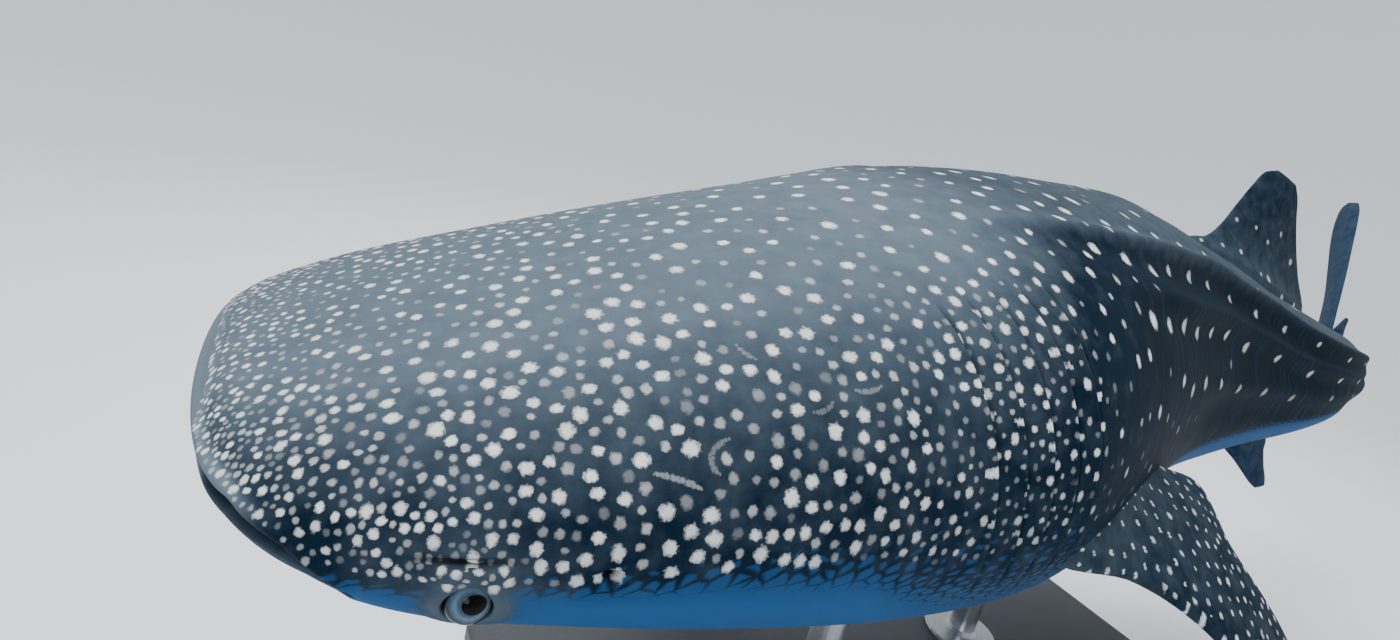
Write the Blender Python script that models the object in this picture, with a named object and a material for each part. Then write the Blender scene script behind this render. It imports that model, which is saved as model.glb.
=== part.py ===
"""A whale shark about 5.8 m long, as a life-size museum model on a plain stand.

It swims towards -X with +Z up, its left side towards -Y, its body and tail bent gently.
Places along the body are measured in metres from the snout, along the body's middle line.
Places round the body are angles: 0 at the middle of the back, 90 at the left flank,
180 at the middle of the belly.
"""

import math

import bmesh
import bpy
import numpy as np
from mathutils import Matrix, Vector

TOTAL_LENGTH = 5.8  # snout to the tip of the upper tail lobe, laid out straight
BODY_LENGTH = 0.768 * TOTAL_LENGTH  # snout to the root of the tail fin
TAIL_END = BODY_LENGTH + 0.27  # where the flesh of the tail ends between its two lobes
AXIS_HEIGHT = 1.08  # the mouth's level above the floor
GAP = 0.0003  # between neighbours that touch

# Station, half width, height above the mouth's level and depth below it, in metres.
OUTLINE = (
    (0.00, 0.000, 0.000, 0.000),
    (0.03, 0.262, 0.064, 0.032),
    (0.10, 0.362, 0.099, 0.092),
    (0.22, 0.425, 0.150, 0.145),
    (0.36, 0.458, 0.202, 0.172),
    (0.55, 0.484, 0.270, 0.210),
    (0.80, 0.497, 0.351, 0.260),
    (1.05, 0.498, 0.418, 0.312),
    (1.30, 0.481, 0.456, 0.347),
    (1.60, 0.453, 0.476, 0.367),
    (2.00, 0.412, 0.478, 0.366),
    (2.60, 0.345, 0.405, 0.315),
    (3.10, 0.268, 0.296, 0.240),
    (3.50, 0.196, 0.220, 0.184),
    (3.90, 0.136, 0.168, 0.139),
    (4.20, 0.104, 0.138, 0.112),
    (BODY_LENGTH, 0.072, 0.116, 0.095),
    (TAIL_END, 0.014, 0.045, 0.040),
)
SECTION_POWER = 2.25  # 2 would be an ellipse

# Station in metres and the way that the body heads there, in degrees from +X towards +Y.
HEADINGS = (
    (0.0, 0.0),
    (0.7, 0.0),
    (1.3, 14.0),
    (1.9, 12.0),
    (2.5, 0.0),
    (3.1, -7.5),
    (3.7, 5.5),
    (4.4, 26.5),
    (5.8, 32.0),
)
SPINE_STEP = 0.02

# Long ridges on each flank, from the back down: height, how long it takes to reach that
# height, then stations and the angle there.
RIDGES = (
    (0.026, 0.95, (0.85, 1.20, 1.50, 2.45, 3.20, TAIL_END), (14.0, 25.0, 34.0, 43.0, 46.0, 50.0)),
    (0.020, 0.50, (1.20, 1.67, 2.20, 2.50, 3.00, TAIL_END), (44.0, 54.0, 60.0, 62.5, 67.0, 70.0)),
    (0.012, 0.50, (1.70, 2.40, 3.00, 3.40, 3.80, TAIL_END), (78.0, 82.0, 84.0, 86.0, 88.0, 90.0)),
)
RIDGE_HALF_WIDTH = 0.026
RIDGE_HOLLOW = 0.45  # depth of the hollow below a ridge, as a share of its height
CREST_HEIGHT = 0.014  # the low ridge along the middle of the back
CREST_START = 1.50
CREST_RISE = 0.50
KEEL_HEIGHT = 0.034  # what the lowest ridge gains where it becomes the keel of the tail
KEEL_START = 3.50

GILL_COUNT = 5
GILL_FIRST = 0.845
GILL_PITCH = 0.048
GILL_ANGLES = (38.0, 102.0)
GILL_SLANT = 0.0008  # metres further back for each degree further down
GILL_FLAP_LENGTH = 0.036
GILL_FLAP_HEIGHT = 0.008
GILL_GROOVE_DEPTH = 0.012
GILL_GROOVE_WIDTH = 0.005
GILL_FADE = 12.0  # degrees over which a slit ends

MOUTH_CORNER = 0.15
# Station and level of the mouth's line, against the snout's tip.
MOUTH_LINE = (
    (-0.10, 0.0163),
    (0.00, 0.0160),
    (0.05, 0.0130),
    (0.096, 0.000),
    (0.13, -0.022),
    (0.17, -0.052),
)
LIP_RADIUS = 0.008
LIP_INSET = 0.006
JAW_END = 0.40
JAW_DEPTH = 0.30
HEAD_REACH = 0.70  # wider than half the head

EYE_STATION = 0.248
EYE_ANGLE = 97.0
EYE_RADIUS = 0.024
EYE_SINK = 0.009  # the eyeball's centre under the skin
LID_THICKNESS = 0.006
LID_SPACE = 0.002
BROW_STATION = 0.237  # the fold of skin over the eye
BROW_ANGLE = 86.0
BROW_LENGTH = 0.065
BROW_HEIGHT = 0.007
BROW_WIDTH = 0.014

# Openings cut into the head: name, station, angle and radii outwards, backwards and across.
HEAD_HOLLOWS = (
    ("spiracle", 0.375, 88.0, (0.016, 0.013, 0.007)),
    ("nostril", 0.026, 62.0, (0.016, 0.008, 0.018)),
)

# Names and stations where one length of the body ends and the next begins.
LENGTHS = (
    ("head", 0.00, 0.70),
    ("gill_region", 0.70, 1.14),
    ("trunk_front", 1.14, 2.30),
    ("trunk_rear", 2.30, 3.40),
    ("tail_stock", 3.40, TAIL_END),
)
RING_PITCH = 0.13

# Fin plans: span, leading edge and trailing edge, in metres from the front of the root.
FIRST_DORSAL = (
    (-0.06, -0.18, 0.69),
    (0.01, -0.120, 0.68),
    (0.04, -0.040, 0.655),
    (0.10, 0.020, 0.590),
    (0.20, 0.080, 0.510),
    (0.29, 0.135, 0.455),
    (0.35, 0.180, 0.425),
    (0.385, 0.250, 0.390),
)
SECOND_DORSAL = (
    (-0.03, -0.02, 0.23),
    (0.01, 0.000, 0.23),
    (0.04, 0.050, 0.215),
    (0.06, 0.085, 0.212),
    (0.075, 0.120, 0.205),
)
ANAL = (
    (-0.03, -0.02, 0.22),
    (0.01, 0.000, 0.22),
    (0.06, 0.055, 0.205),
    (0.12, 0.105, 0.205),
    (0.19, 0.165, 0.215),
)
PELVIC = (
    (-0.04, -0.03, 0.26),
    (0.01, 0.000, 0.26),
    (0.05, 0.045, 0.242),
    (0.10, 0.095, 0.240),
    (0.15, 0.145, 0.248),
    (0.175, 0.180, 0.244),
)
PECTORAL = (
    (-0.12, -0.06, 0.44),
    (0.00, -0.020, 0.49),
    (0.10, 0.125, 0.600),
    (0.22, 0.230, 0.545),
    (0.40, 0.335, 0.590),
    (0.65, 0.443, 0.690),
    (0.88, 0.525, 0.715),
    (0.98, 0.590, 0.705),
)
UPPER_LOBE = (
    (-0.10, -0.20, 0.30),
    (0.08, -0.06, 0.34),
    (0.24, 0.120, 0.460),
    (0.42, 0.340, 0.700),
    (0.57, 0.550, 0.920),
    (0.69, 0.720, 1.060),
    (0.77, 0.860, 1.120),
    (0.80, 0.950, 1.110),
)
LOWER_LOBE = (
    (-0.08, -0.16, 0.30),
    (0.04, -0.05, 0.26),
    (0.18, 0.060, 0.235),
    (0.34, 0.170, 0.275),
    (0.46, 0.255, 0.320),
    (0.51, 0.305, 0.335),
)
FIN_THICKNESS = 0.085  # share of the chord
FIN_SECTION = (0.2969, -0.126, -0.3516, 0.2843, -0.1036)  # the usual curve of a thin wing's half
FIN_EDGE = 0.004
FIN_TIP_START = 0.86  # share of the span where a fin starts to thin towards its tip
FIN_TIP_THICKNESS = 0.25
FIN_FLARE_REACH = 0.035  # how far up a fin its thicker root goes
FIN_ROUND = 22.5  # degrees between a fin section's points
FIN_ROWS = 14
TAIL_ROWS = 18
TAIL_FLARE = 0.030
TAIL_TWIST = math.radians(8.5)  # how far the tail fin's tips turn from the tail's own line
CUTTER_REACH = 0.35  # how far past a fin's root its cutter goes

BASE_SIZE = (2.30, 0.95, 0.06)
BASE_STATION = 1.75
BASE_EDGE = 0.012
ROD_STATIONS = (1.32, 2.18)
ROD_RADIUS = 0.042
# A rod's turned profile: radius and height over the base. It ends inside the body.
ROD_PROFILE = (
    (0.120, 0.000),
    (0.120, 0.012),
    (0.114, 0.018),
    (0.054, 0.022),
    (ROD_RADIUS, 0.034),
    (ROD_RADIUS, 0.820),
)

RING_ANGLES = (
    0, 6, 13, 19, 23, 26, 29, 33, 40, 45, 48, 51, 54, 58, 66,
    73, 76, 79, 82, 86, 93, 100, 108, 117, 128, 140, 153, 167,
)
RIDGE_MARKS = (26.0, 51.0, 79.0)  # the ring angles that follow the ridges
NOSE_STATIONS = (
    0.0008, 0.004, 0.011, 0.022, 0.038, 0.060, 0.090, 0.125, 0.165, 0.215, 0.275, 0.345, 0.430, 0.530, 0.615,
)
GILL_RINGS = (-0.030, -0.003, 0.005, 0.014)  # rings about each slit


def smooth_step(x, start, full):
    """0 before start, 1 past full, with a soft rise between them."""
    share = np.clip((x - start) / (full - start), 0.0, 1.0)
    return share * share * (3.0 - 2.0 * share)


def fair_curve(x, knots, values):
    """A cubic curve through the points that doesn't swing past them, read at x."""
    knots, values = np.asarray(knots, float), np.asarray(values, float)
    spans = np.diff(knots)
    steep = np.diff(values) / spans
    slopes = np.concatenate([steep[:1], np.zeros(len(steep) - 1), steep[-1:]])
    same_way = steep[:-1] * steep[1:] > 0
    before, after = 2 * spans[1:] + spans[:-1], spans[1:] + 2 * spans[:-1]
    safe = np.where(steep == 0, 1.0, steep)
    mean = (before + after) / (before / safe[:-1] + after / safe[1:])
    slopes[1:-1] = np.where(same_way, mean, 0.0)
    i = np.clip(np.searchsorted(knots, x) - 1, 0, len(spans) - 1)
    u = (x - knots[i]) / spans[i]
    start = (1 + 2 * u) * (1 - u) ** 2 * values[i] + u * (1 - u) ** 2 * spans[i] * slopes[i]
    end = u * u * (3 - 2 * u) * values[i + 1] + u * u * (u - 1) * spans[i] * slopes[i + 1]
    return start + end


def spine(s):
    """X, Y and heading in radians of the body's middle line at stations s."""
    along = np.arange(0.0, HEADINGS[-1][0], SPINE_STEP)
    heading = np.radians(fair_curve(along, *zip(*HEADINGS)))
    middle = (heading[1:] + heading[:-1]) / 2
    x = np.concatenate([[0.0], np.cumsum(np.cos(middle) * SPINE_STEP)])
    y = np.concatenate([[0.0], np.cumsum(np.sin(middle) * SPINE_STEP)])
    return np.interp(s, along, x), np.interp(s, along, y), np.interp(s, along, heading)


def outline(s):
    """Half width, height and depth of the body at stations s. Square roots make the snout round."""
    stations, widths, heights, depths = zip(*OUTLINE)
    root, roots = np.sqrt(s), np.sqrt(stations)
    return tuple(fair_curve(root, roots, values) for values in (widths, heights, depths))


def down_from_back(angle):
    """Degrees from the middle of the back, the same on both flanks."""
    return np.abs(np.where(angle > 180, angle - 360, angle))


def ridge_angle(s, stations, angles):
    """Where a ridge runs at stations s. It keeps its first angle ahead of its start."""
    return fair_curve(np.clip(s, stations[0], stations[-1]), stations, angles)


def ridge_relief(s, angle, radius):
    """The flank's long ridges, with a hollow under each, and the low crest of the back."""
    down = down_from_back(angle)
    relief = np.zeros_like(s)
    keel = smooth_step(s, KEEL_START, BODY_LENGTH)
    for height, rise, stations, angles in RIDGES:
        tall = height * smooth_step(s, stations[0], stations[0] + rise) * (1 - 0.5 * keel)
        if height == RIDGES[-1][0]:
            tall = tall + KEEL_HEIGHT * keel
        away = np.radians(down - ridge_angle(s, stations, angles)) * radius / RIDGE_HALF_WIDTH
        relief += tall * (np.exp(-away ** 2) - RIDGE_HOLLOW * np.exp(-((away - 2.2) / 1.4) ** 2))
    crest = CREST_HEIGHT * smooth_step(s, CREST_START, CREST_START + CREST_RISE)
    relief += crest * np.exp(-(np.radians(down) * radius / (2 * RIDGE_HALF_WIDTH)) ** 2)
    return relief * (1 - smooth_step(s, BODY_LENGTH - 0.10, TAIL_END - 0.05))


def gill_shift(angle):
    """How far back a gill slit lies at an angle, from its place on the flank."""
    top, bottom = GILL_ANGLES
    return GILL_SLANT * (np.clip(down_from_back(angle), top, bottom) - (top + bottom) / 2)


def gill_relief(s, angle):
    """The slits on each side: a flap that rises towards its rear edge, then a groove."""
    down = down_from_back(angle)
    top, bottom = GILL_ANGLES
    reach = smooth_step(down, top, top + GILL_FADE) * (1 - smooth_step(down, bottom - GILL_FADE, bottom))
    relief = np.zeros_like(s)
    for number in range(GILL_COUNT):
        behind = s - (GILL_FIRST + number * GILL_PITCH) - gill_shift(angle)
        flap = np.where(behind < 0, np.clip(1 + behind / GILL_FLAP_LENGTH, 0, 1) ** 2, 0.0)
        groove = np.exp(-((behind - GILL_GROOVE_WIDTH) / GILL_GROOVE_WIDTH) ** 2)
        relief += GILL_FLAP_HEIGHT * flap - GILL_GROOVE_DEPTH * groove
    return relief * reach


def brow_relief(s, angle, radius):
    """The fold over each eye, highest over the middle of the eye."""
    away = np.radians(down_from_back(angle) - BROW_ANGLE) * radius / BROW_WIDTH
    return BROW_HEIGHT * np.exp(-away ** 2) * np.exp(-((s - BROW_STATION) / BROW_LENGTH) ** 4)


def signed_power(value, power):
    return np.sign(value) * np.abs(value) ** power


def body_point(s, angle, grow=0.0):
    """Points of the body's skin at stations s and angles in degrees, moved out by grow."""
    s, angle = np.broadcast_arrays(np.asarray(s, float), np.asarray(angle, float))
    width, height, depth = outline(s)
    turn = np.radians(angle)
    tall = np.where(np.cos(turn) > 0, height, depth)
    side = width * signed_power(np.sin(turn), 2 / SECTION_POWER)
    up = tall * signed_power(np.cos(turn), 2 / SECTION_POWER)
    out = np.stack([np.sin(turn) * (tall + 1e-9), np.cos(turn) * (width + 1e-9)])
    out /= np.linalg.norm(out, axis=0)
    radius = (width + height) / 2
    relief = ridge_relief(s, angle, radius) + gill_relief(s, angle) + brow_relief(s, angle, radius) + grow
    side, up = side + out[0] * relief, up + out[1] * relief
    x, y, heading = spine(s)
    return np.stack([x + np.sin(heading) * side, y - np.cos(heading) * side, AXIS_HEIGHT + up], axis=-1)


def body_normal(s, angle):
    """The way that the skin faces at one place."""
    step = 0.004
    along = body_point(s + step, angle) - body_point(s - step, angle)
    around = body_point(s, angle + 1) - body_point(s, angle - 1)
    normal = Vector(np.cross(around, along)).normalized()
    x, y, _ = spine(s)
    outwards = Vector(body_point(s, angle)) - Vector((x, y, AXIS_HEIGHT))
    return normal if normal.dot(outwards) > 0 else -normal


def mesh_object(name, points, faces, colour):
    """A named object from points and faces, with its normals outwards and a plain material."""
    mesh = bpy.data.meshes.new(name)
    mesh.from_pydata([tuple(p) for p in points], [], faces)
    shell = bmesh.new()
    shell.from_mesh(mesh)
    bmesh.ops.recalc_face_normals(shell, faces=shell.faces)
    shell.to_mesh(mesh)
    shell.free()
    mesh.shade_smooth()
    mesh.set_sharp_from_angle(angle=math.radians(40))
    return linked(name, mesh, colour)


def linked(name, mesh, colour):
    """An object in the scene for a mesh and its material."""
    made = bpy.data.objects.new(name, mesh)
    bpy.context.scene.collection.objects.link(made)
    mesh.materials.append(colour)
    return made


def loft(name, rings, colour, front_point=None):
    """A closed shape through rings of points, with a flat cap at each end or a point in front.

    The two halves of a ring are split into triangles alike, so that a thin fin's faces match.
    """
    rows, count, _ = rings.shape
    points = rings.reshape(-1, 3).tolist()
    faces = []
    for row in range(rows - 1):
        for k in range(count):
            here, after = row * count + k, row * count + (k + 1) % count
            if k < count / 2:
                faces += [(here, after, after + count), (here, after + count, here + count)]
            else:
                faces += [(here, after, here + count), (after, after + count, here + count)]
    faces.append(tuple((rows - 1) * count + k for k in range(count)))
    if front_point is None:
        faces.append(tuple(reversed(range(count))))
    else:
        points.append(list(front_point))
        faces += [(rows * count, (k + 1) % count, k) for k in range(count)]
    return mesh_object(name, points, faces, colour)


def plain_material(name, colour, roughness, metallic=0.0):
    material = bpy.data.materials.new(name)
    material.use_nodes = True
    shader = material.node_tree.nodes["Principled BSDF"]
    shader.inputs["Base Color"].default_value = (*colour, 1.0)
    shader.inputs["Roughness"].default_value = roughness
    shader.inputs["Metallic"].default_value = metallic
    return material


def separate_surfaces(shell):
    """The points of each surface in a bmesh, smallest surface first."""
    left, groups = set(shell.verts), []
    while left:
        group, edge = set(), [left.pop()]
        while edge:
            vert = edge.pop()
            group.add(vert)
            near = {other for link in vert.link_edges for other in link.verts} & left
            left -= near
            edge.extend(near)
        groups.append(group)
    return sorted(groups, key=len)


def apply_modifiers(target):
    """Bakes an object's modifiers into its mesh and keeps only its largest closed surface."""
    graph = bpy.context.evaluated_depsgraph_get()
    baked = bpy.data.meshes.new_from_object(target.evaluated_get(graph))
    target.modifiers.clear()
    target.data = baked
    shell = bmesh.new()
    shell.from_mesh(baked)
    bmesh.ops.remove_doubles(shell, verts=shell.verts, dist=1e-5)
    bmesh.ops.dissolve_degenerate(shell, edges=shell.edges, dist=1e-5)
    scraps = [vert for group in separate_surfaces(shell)[:-1] for vert in group]
    bmesh.ops.delete(shell, geom=scraps, context="VERTS")
    shell.to_mesh(baked)
    shell.free()


def combine(target, pieces, operation):
    """Joins closed pieces to target, or cuts them from it, and removes them."""
    group = bpy.data.collections.new("pieces")
    bpy.context.scene.collection.children.link(group)
    for piece in pieces:
        bpy.context.scene.collection.objects.unlink(piece)
        group.objects.link(piece)
    change = target.modifiers.new(operation.lower(), "BOOLEAN")
    change.operation = operation
    change.operand_type = "COLLECTION"
    change.collection = group
    apply_modifiers(target)
    for piece in pieces:
        bpy.data.objects.remove(piece)
    bpy.data.collections.remove(group)


def ring_angles(s):
    """Angles of the rings at stations s, all the way round, drawn along with the ridges."""
    marks = np.array(RING_ANGLES + (180,), float)
    knots = (0.0, *RIDGE_MARKS, 180.0)
    rows = []
    for station in s:
        places = [ridge_angle(station, stations, angles) for *_, stations, angles in RIDGES]
        half = np.interp(marks, knots, (0.0, *places, 180.0))
        rows.append(np.concatenate([half, 360 - half[-2:0:-1]]))
    return np.array(rows)


def ring_stations(start, end):
    """Stations of the rings of one length of the body, closer together where it has detail."""
    if start == 0:
        return np.array(NOSE_STATIONS + (end,))
    if start < GILL_FIRST < end:
        slits = [GILL_FIRST + number * GILL_PITCH for number in range(GILL_COUNT)]
        return np.array([start, *(slit + offset for slit in slits for offset in GILL_RINGS), end])
    return np.linspace(start, end, 2 + int((end - start) / RING_PITCH))


def body_rings(stations, grow=0.0):
    """Rings of skin points. The rings slant with the gill slits, where there are any."""
    angle = ring_angles(stations)
    s = np.broadcast_to(stations[:, None], angle.shape)
    middle = GILL_FIRST + (GILL_COUNT - 1) / 2 * GILL_PITCH
    by_gills = np.abs(s - middle) < GILL_PITCH * GILL_COUNT / 2
    return body_point(s + by_gills * gill_shift(angle), angle, grow)


def body_length(name, start, end, colour):
    """One closed length of the body, half a gap short where it meets the next."""
    stations = ring_stations(start, end)
    front = None
    if start > 0:
        stations[0] += GAP / 2
    else:
        front = body_point(0.0, 0.0)
    stations[-1] -= GAP / 2
    return loft(name, body_rings(stations), colour, front)


def body_cutter(start, end, colour):
    """The body a gap larger, to trim what grows from it."""
    stations = []
    for _, first, last in LENGTHS:
        stations += [s for s in ring_stations(first, last) if start <= s <= end]
    return loft("body_cutter", body_rings(np.unique(stations), GAP), colour)


def mouth_path(rise):
    """The mouth's line from its left corner round the front to its right, raised by rise."""
    share = np.linspace(-1.0, 1.0, 41)
    s = MOUTH_CORNER * share ** 2
    level = np.interp(s + LIP_INSET, *zip(*MOUTH_LINE)) + rise
    width, height, depth = outline(s)
    tall = np.maximum(np.where(level > 0, height, depth), 0.02)
    flat = np.clip(np.abs(level) / tall, 0, 0.9)
    side = width * (1 - flat ** SECTION_POWER) ** (1 / SECTION_POWER)
    return np.stack([s + LIP_INSET, np.sign(share) * (side - LIP_INSET), AXIS_HEIGHT + level], axis=-1)


def lip(name, rise, colour):
    """A soft roll along one edge of the mouth, thinner towards its corners."""
    path = mouth_path(rise)
    ahead = np.gradient(path, axis=0)
    up = np.array([0.0, 0.0, 1.0])
    out = np.cross(ahead, up)
    out /= np.linalg.norm(out, axis=1)[:, None]
    turn = np.radians(np.arange(0, 360, 45))
    thin = LIP_RADIUS * (1 - 0.6 * np.linspace(-1, 1, len(path)) ** 4)
    ring = np.cos(turn)[None, :, None] * out[:, None, :] + np.sin(turn)[None, :, None] * up
    return loft(name, path[:, None, :] + thin[:, None, None] * ring, colour)


def jaw_prism(name, grow, colour):
    """What lies below the mouth's line and ahead of the jaw's hinge, as a prism across the head."""
    upper = [(x + grow, level + grow) for x, level in MOUTH_LINE]
    profile = upper + [(JAW_END + grow, -JAW_DEPTH), (MOUTH_LINE[0][0], -JAW_DEPTH)]
    rings = [[(x, y, AXIS_HEIGHT + z) for x, z in profile] for y in (-HEAD_REACH, HEAD_REACH)]
    return loft(name, np.array(rings), colour)


def blob(name, centre, axes, radii, colour, detail=3):
    """A closed ellipsoid at centre, with its radii along three axes."""
    ball = bmesh.new()
    bmesh.ops.create_icosphere(ball, subdivisions=detail, radius=1.0)
    turn = Matrix([Vector(a).normalized() for a in axes]).transposed().to_4x4()
    scale = Matrix.Diagonal((*radii, 1.0))
    bmesh.ops.transform(ball, matrix=Matrix.Translation(centre) @ turn @ scale, verts=ball.verts)
    mesh = bpy.data.meshes.new(name)
    ball.to_mesh(mesh)
    ball.free()
    mesh.shade_smooth()
    return linked(name, mesh, colour)


def skin_axes(s, angle):
    """Outwards, backwards and across at a place on the skin."""
    out = body_normal(s, angle)
    back = Vector(body_point(s + 0.01, angle) - body_point(s - 0.01, angle)).normalized()
    back = (back - out * back.dot(out)).normalized()
    return out, back, out.cross(back)


def eyeball(name, angle, grow, colour):
    axes = skin_axes(EYE_STATION, angle)
    centre = Vector(body_point(EYE_STATION, angle)) - axes[0] * EYE_SINK
    return blob(name, centre, axes, [EYE_RADIUS + grow] * 3, colour)


def lid_ring(name, angle, colour):
    """The fold of skin round an eye, as a closed ring of round section."""
    out, back, across = skin_axes(EYE_STATION, angle)
    middle = Vector(body_point(EYE_STATION, angle))
    turns = np.radians(np.arange(0, 360, 60))
    points = []
    for around in np.radians(np.arange(0, 360, 15)):
        spoke = back * math.cos(around) + across * math.sin(around)
        wide = [EYE_RADIUS + LID_SPACE + LID_THICKNESS * math.cos(t) for t in turns]
        points += [middle + spoke * w + out * LID_THICKNESS * math.sin(t) for w, t in zip(wide, turns)]
    count, total = len(turns), len(points)
    faces = []
    for first in range(0, total, count):
        for k in range(count):
            here, beside = first + k, first + (k + 1) % count
            faces.append((here, beside, (beside + count) % total, (here + count) % total))
    return mesh_object(name, points, faces, colour)


def make_head(skin):
    """The head with its lips, lids, eye sockets, spiracles and nostrils, and its lower jaw."""
    name, start, end = LENGTHS[0]
    head = body_length(name, start, end, skin)
    jaw = body_length("lower_jaw", start, end, skin)
    combine(jaw, [jaw_prism("jaw_side", -2 * GAP, skin)], "INTERSECT")
    combine(jaw, [lip("lower_lip", -LIP_RADIUS - 2 * GAP, skin)], "UNION")
    combine(head, [jaw_prism("jaw_room", -GAP, skin)], "DIFFERENCE")
    lids = [lid_ring("lid", angle, skin) for angle in (EYE_ANGLE, 360 - EYE_ANGLE)]
    combine(head, [lip("upper_lip", LIP_RADIUS, skin), *lids], "UNION")
    hollows = []
    for flip in (False, True):
        hollows.append(eyeball("socket", 360 - EYE_ANGLE if flip else EYE_ANGLE, GAP, skin))
        for hollow, station, angle, radii in HEAD_HOLLOWS:
            place = 360 - angle if flip else angle
            centre = Vector(body_point(station, place))
            hollows.append(blob(hollow, centre, skin_axes(station, place), radii, skin, detail=2))
    combine(head, hollows, "DIFFERENCE")
    return head, jaw


def fin_rings(plan, root, backward, outward, droop, flare, twist, rows):
    """Sections of a fin. It spans outward from root and bends by droop radians for each metre.

    Its chord runs backward, turned by up to twist radians towards the tip.
    """
    spans, leads, trails = (np.array(row) for row in zip(*plan))
    share = np.linspace(0, 1, rows)
    span = spans[0] + (spans[-1] - spans[0]) * (1 - (1 - share) ** 1.5)
    lead, trail = fair_curve(span, spans, leads), fair_curve(span, spans, trails)
    turn = np.radians(np.arange(0, 360, FIN_ROUND))
    along = (1 - np.cos(turn)) / 2
    powers = (0.5, 1, 2, 3, 4)
    half = 5 * FIN_THICKNESS * sum(factor * along ** power for factor, power in zip(FIN_SECTION, powers))
    closing = 1 - smooth_step(share, FIN_TIP_START, 1.0) * (1 - FIN_TIP_THICKNESS)
    thick = half * (trail - lead)[:, None] * closing[:, None] + FIN_EDGE / 2
    near_root = np.exp(-np.maximum(span, 0) / FIN_FLARE_REACH)[:, None]
    thick += flare * near_root * np.sin(np.pi * along) ** 0.7
    edge = (along < 1e-6) | (along > 1 - 1e-6)
    thick *= np.where(edge, 0.0, np.sign(np.sin(turn)))
    backward = Vector(backward).normalized()
    outward = (Vector(outward) - backward * Vector(outward).dot(backward)).normalized()
    across = backward.cross(outward)
    across = across if across.z > 0 else -across
    rings = []
    for k in range(rows):
        lean = max(span[k], 0) * droop
        reach = math.sin(lean) / droop if lean else span[k]
        fall = (1 - math.cos(lean)) / droop if lean else 0.0
        normal = across * math.cos(lean) + outward * math.sin(lean)
        turned = Matrix.Rotation(twist * float(smooth_step(span[k], 0, spans[-1])), 3, outward)
        front = root + outward * reach - across * fall + backward * lead[k]
        chord = turned @ backward * (trail[k] - lead[k])
        rings.append([front + chord * a + turned @ normal * t for a, t in zip(along, thick[k])])
    return np.array([[tuple(point) for point in ring] for ring in rings])


def fin_on_body(name, plan, station, angle, colour, outward=None, droop=0.0, flare=0.02, sink=0.0, tilt=0.0):
    """A fin whose root runs back along the skin from a station, trimmed where it meets the body."""
    chord = plan[1][2]
    front, rear = (Vector(body_point(s, angle)) for s in (station, station + chord))
    backward = (rear - front).normalized() + Vector((0, 0, tilt))
    out = body_normal(station + chord / 2, angle)
    way = Vector(outward) if outward else out
    rings = fin_rings(plan, front - out * sink, backward, way, droop, flare, 0.0, FIN_ROWS)
    made = loft(name, rings, colour)
    cutter = body_cutter(station - CUTTER_REACH, station + chord + CUTTER_REACH, colour)
    combine(made, [cutter], "DIFFERENCE")
    return made


def paired_fins(name, plan, station, angle, colour, outward, **shape):
    """A fin on each flank. Outward is the left one's way out; the right one mirrors it."""
    made = []
    for side, sign in (("left", 1), ("right", -1)):
        way = (outward[0], outward[1] * sign, outward[2])
        made.append(fin_on_body(f"{name}_{side}", plan, station, sign * angle % 360, colour, way, **shape))
    return made


def tail_lobe(name, plan, upwards, colour):
    """One lobe of the tail fin, cut off level with the body's middle line, where the other begins."""
    x, y, heading = (float(v) for v in spine(BODY_LENGTH))
    back = (math.cos(heading), math.sin(heading), 0.0)
    root = Vector((x, y, AXIS_HEIGHT))
    rings = fin_rings(plan, root, back, (0, 0, upwards), 0.0, TAIL_FLARE, upwards * TAIL_TWIST, TAIL_ROWS)
    lobe = loft(name, rings, colour)
    far = TOTAL_LENGTH
    corners = ((-far, -far), (far, -far), (far, far), (-far, far))
    levels = (AXIS_HEIGHT - upwards * far, AXIS_HEIGHT + upwards * GAP / 2)
    half = loft("other_half", np.array([[(x + dx, y + dy, z) for dx, dy in corners] for z in levels]), colour)
    combine(lobe, [half], "DIFFERENCE")
    combine(lobe, [body_cutter(LENGTHS[-1][1], TAIL_END, colour)], "DIFFERENCE")
    return lobe


def make_base(board):
    x, y, _ = spine(BASE_STATION)
    shape = bmesh.new()
    bmesh.ops.create_cube(shape, size=1.0)
    bmesh.ops.scale(shape, vec=BASE_SIZE, verts=shape.verts)
    bmesh.ops.translate(shape, vec=(float(x), float(y), BASE_SIZE[2] / 2), verts=shape.verts)
    mesh = bpy.data.meshes.new("stand_base")
    shape.to_mesh(mesh)
    shape.free()
    base = linked("stand_base", mesh, board)
    edge = base.modifiers.new("edge", "BEVEL")
    edge.width = BASE_EDGE
    edge.segments = 3
    return base


def make_rod(name, station, metal):
    """A turned rod with a flange at its foot, trimmed where it meets the belly."""
    x, y, _ = spine(station)
    foot = BASE_SIZE[2] + GAP
    turn = np.radians(np.arange(0, 360, 15))
    rings = [[(x + r * math.cos(t), y + r * math.sin(t), foot + z) for t in turn] for r, z in ROD_PROFILE]
    rod = loft(name, np.array(rings), metal)
    combine(rod, [body_cutter(station - CUTTER_REACH, station + CUTTER_REACH, metal)], "DIFFERENCE")
    return rod


def centre_over_floor(made):
    """Moves everything so that the origin is on the floor under the middle of the model."""
    bpy.context.view_layer.update()
    corners = np.array([m.matrix_world @ Vector(c) for m in made for c in m.bound_box])
    middle = (corners.min(axis=0) + corners.max(axis=0)) / 2
    shift = Vector((-middle[0], -middle[1], -corners[:, 2].min()))
    for m in made:
        m.data.transform(Matrix.Translation(shift))


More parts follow.
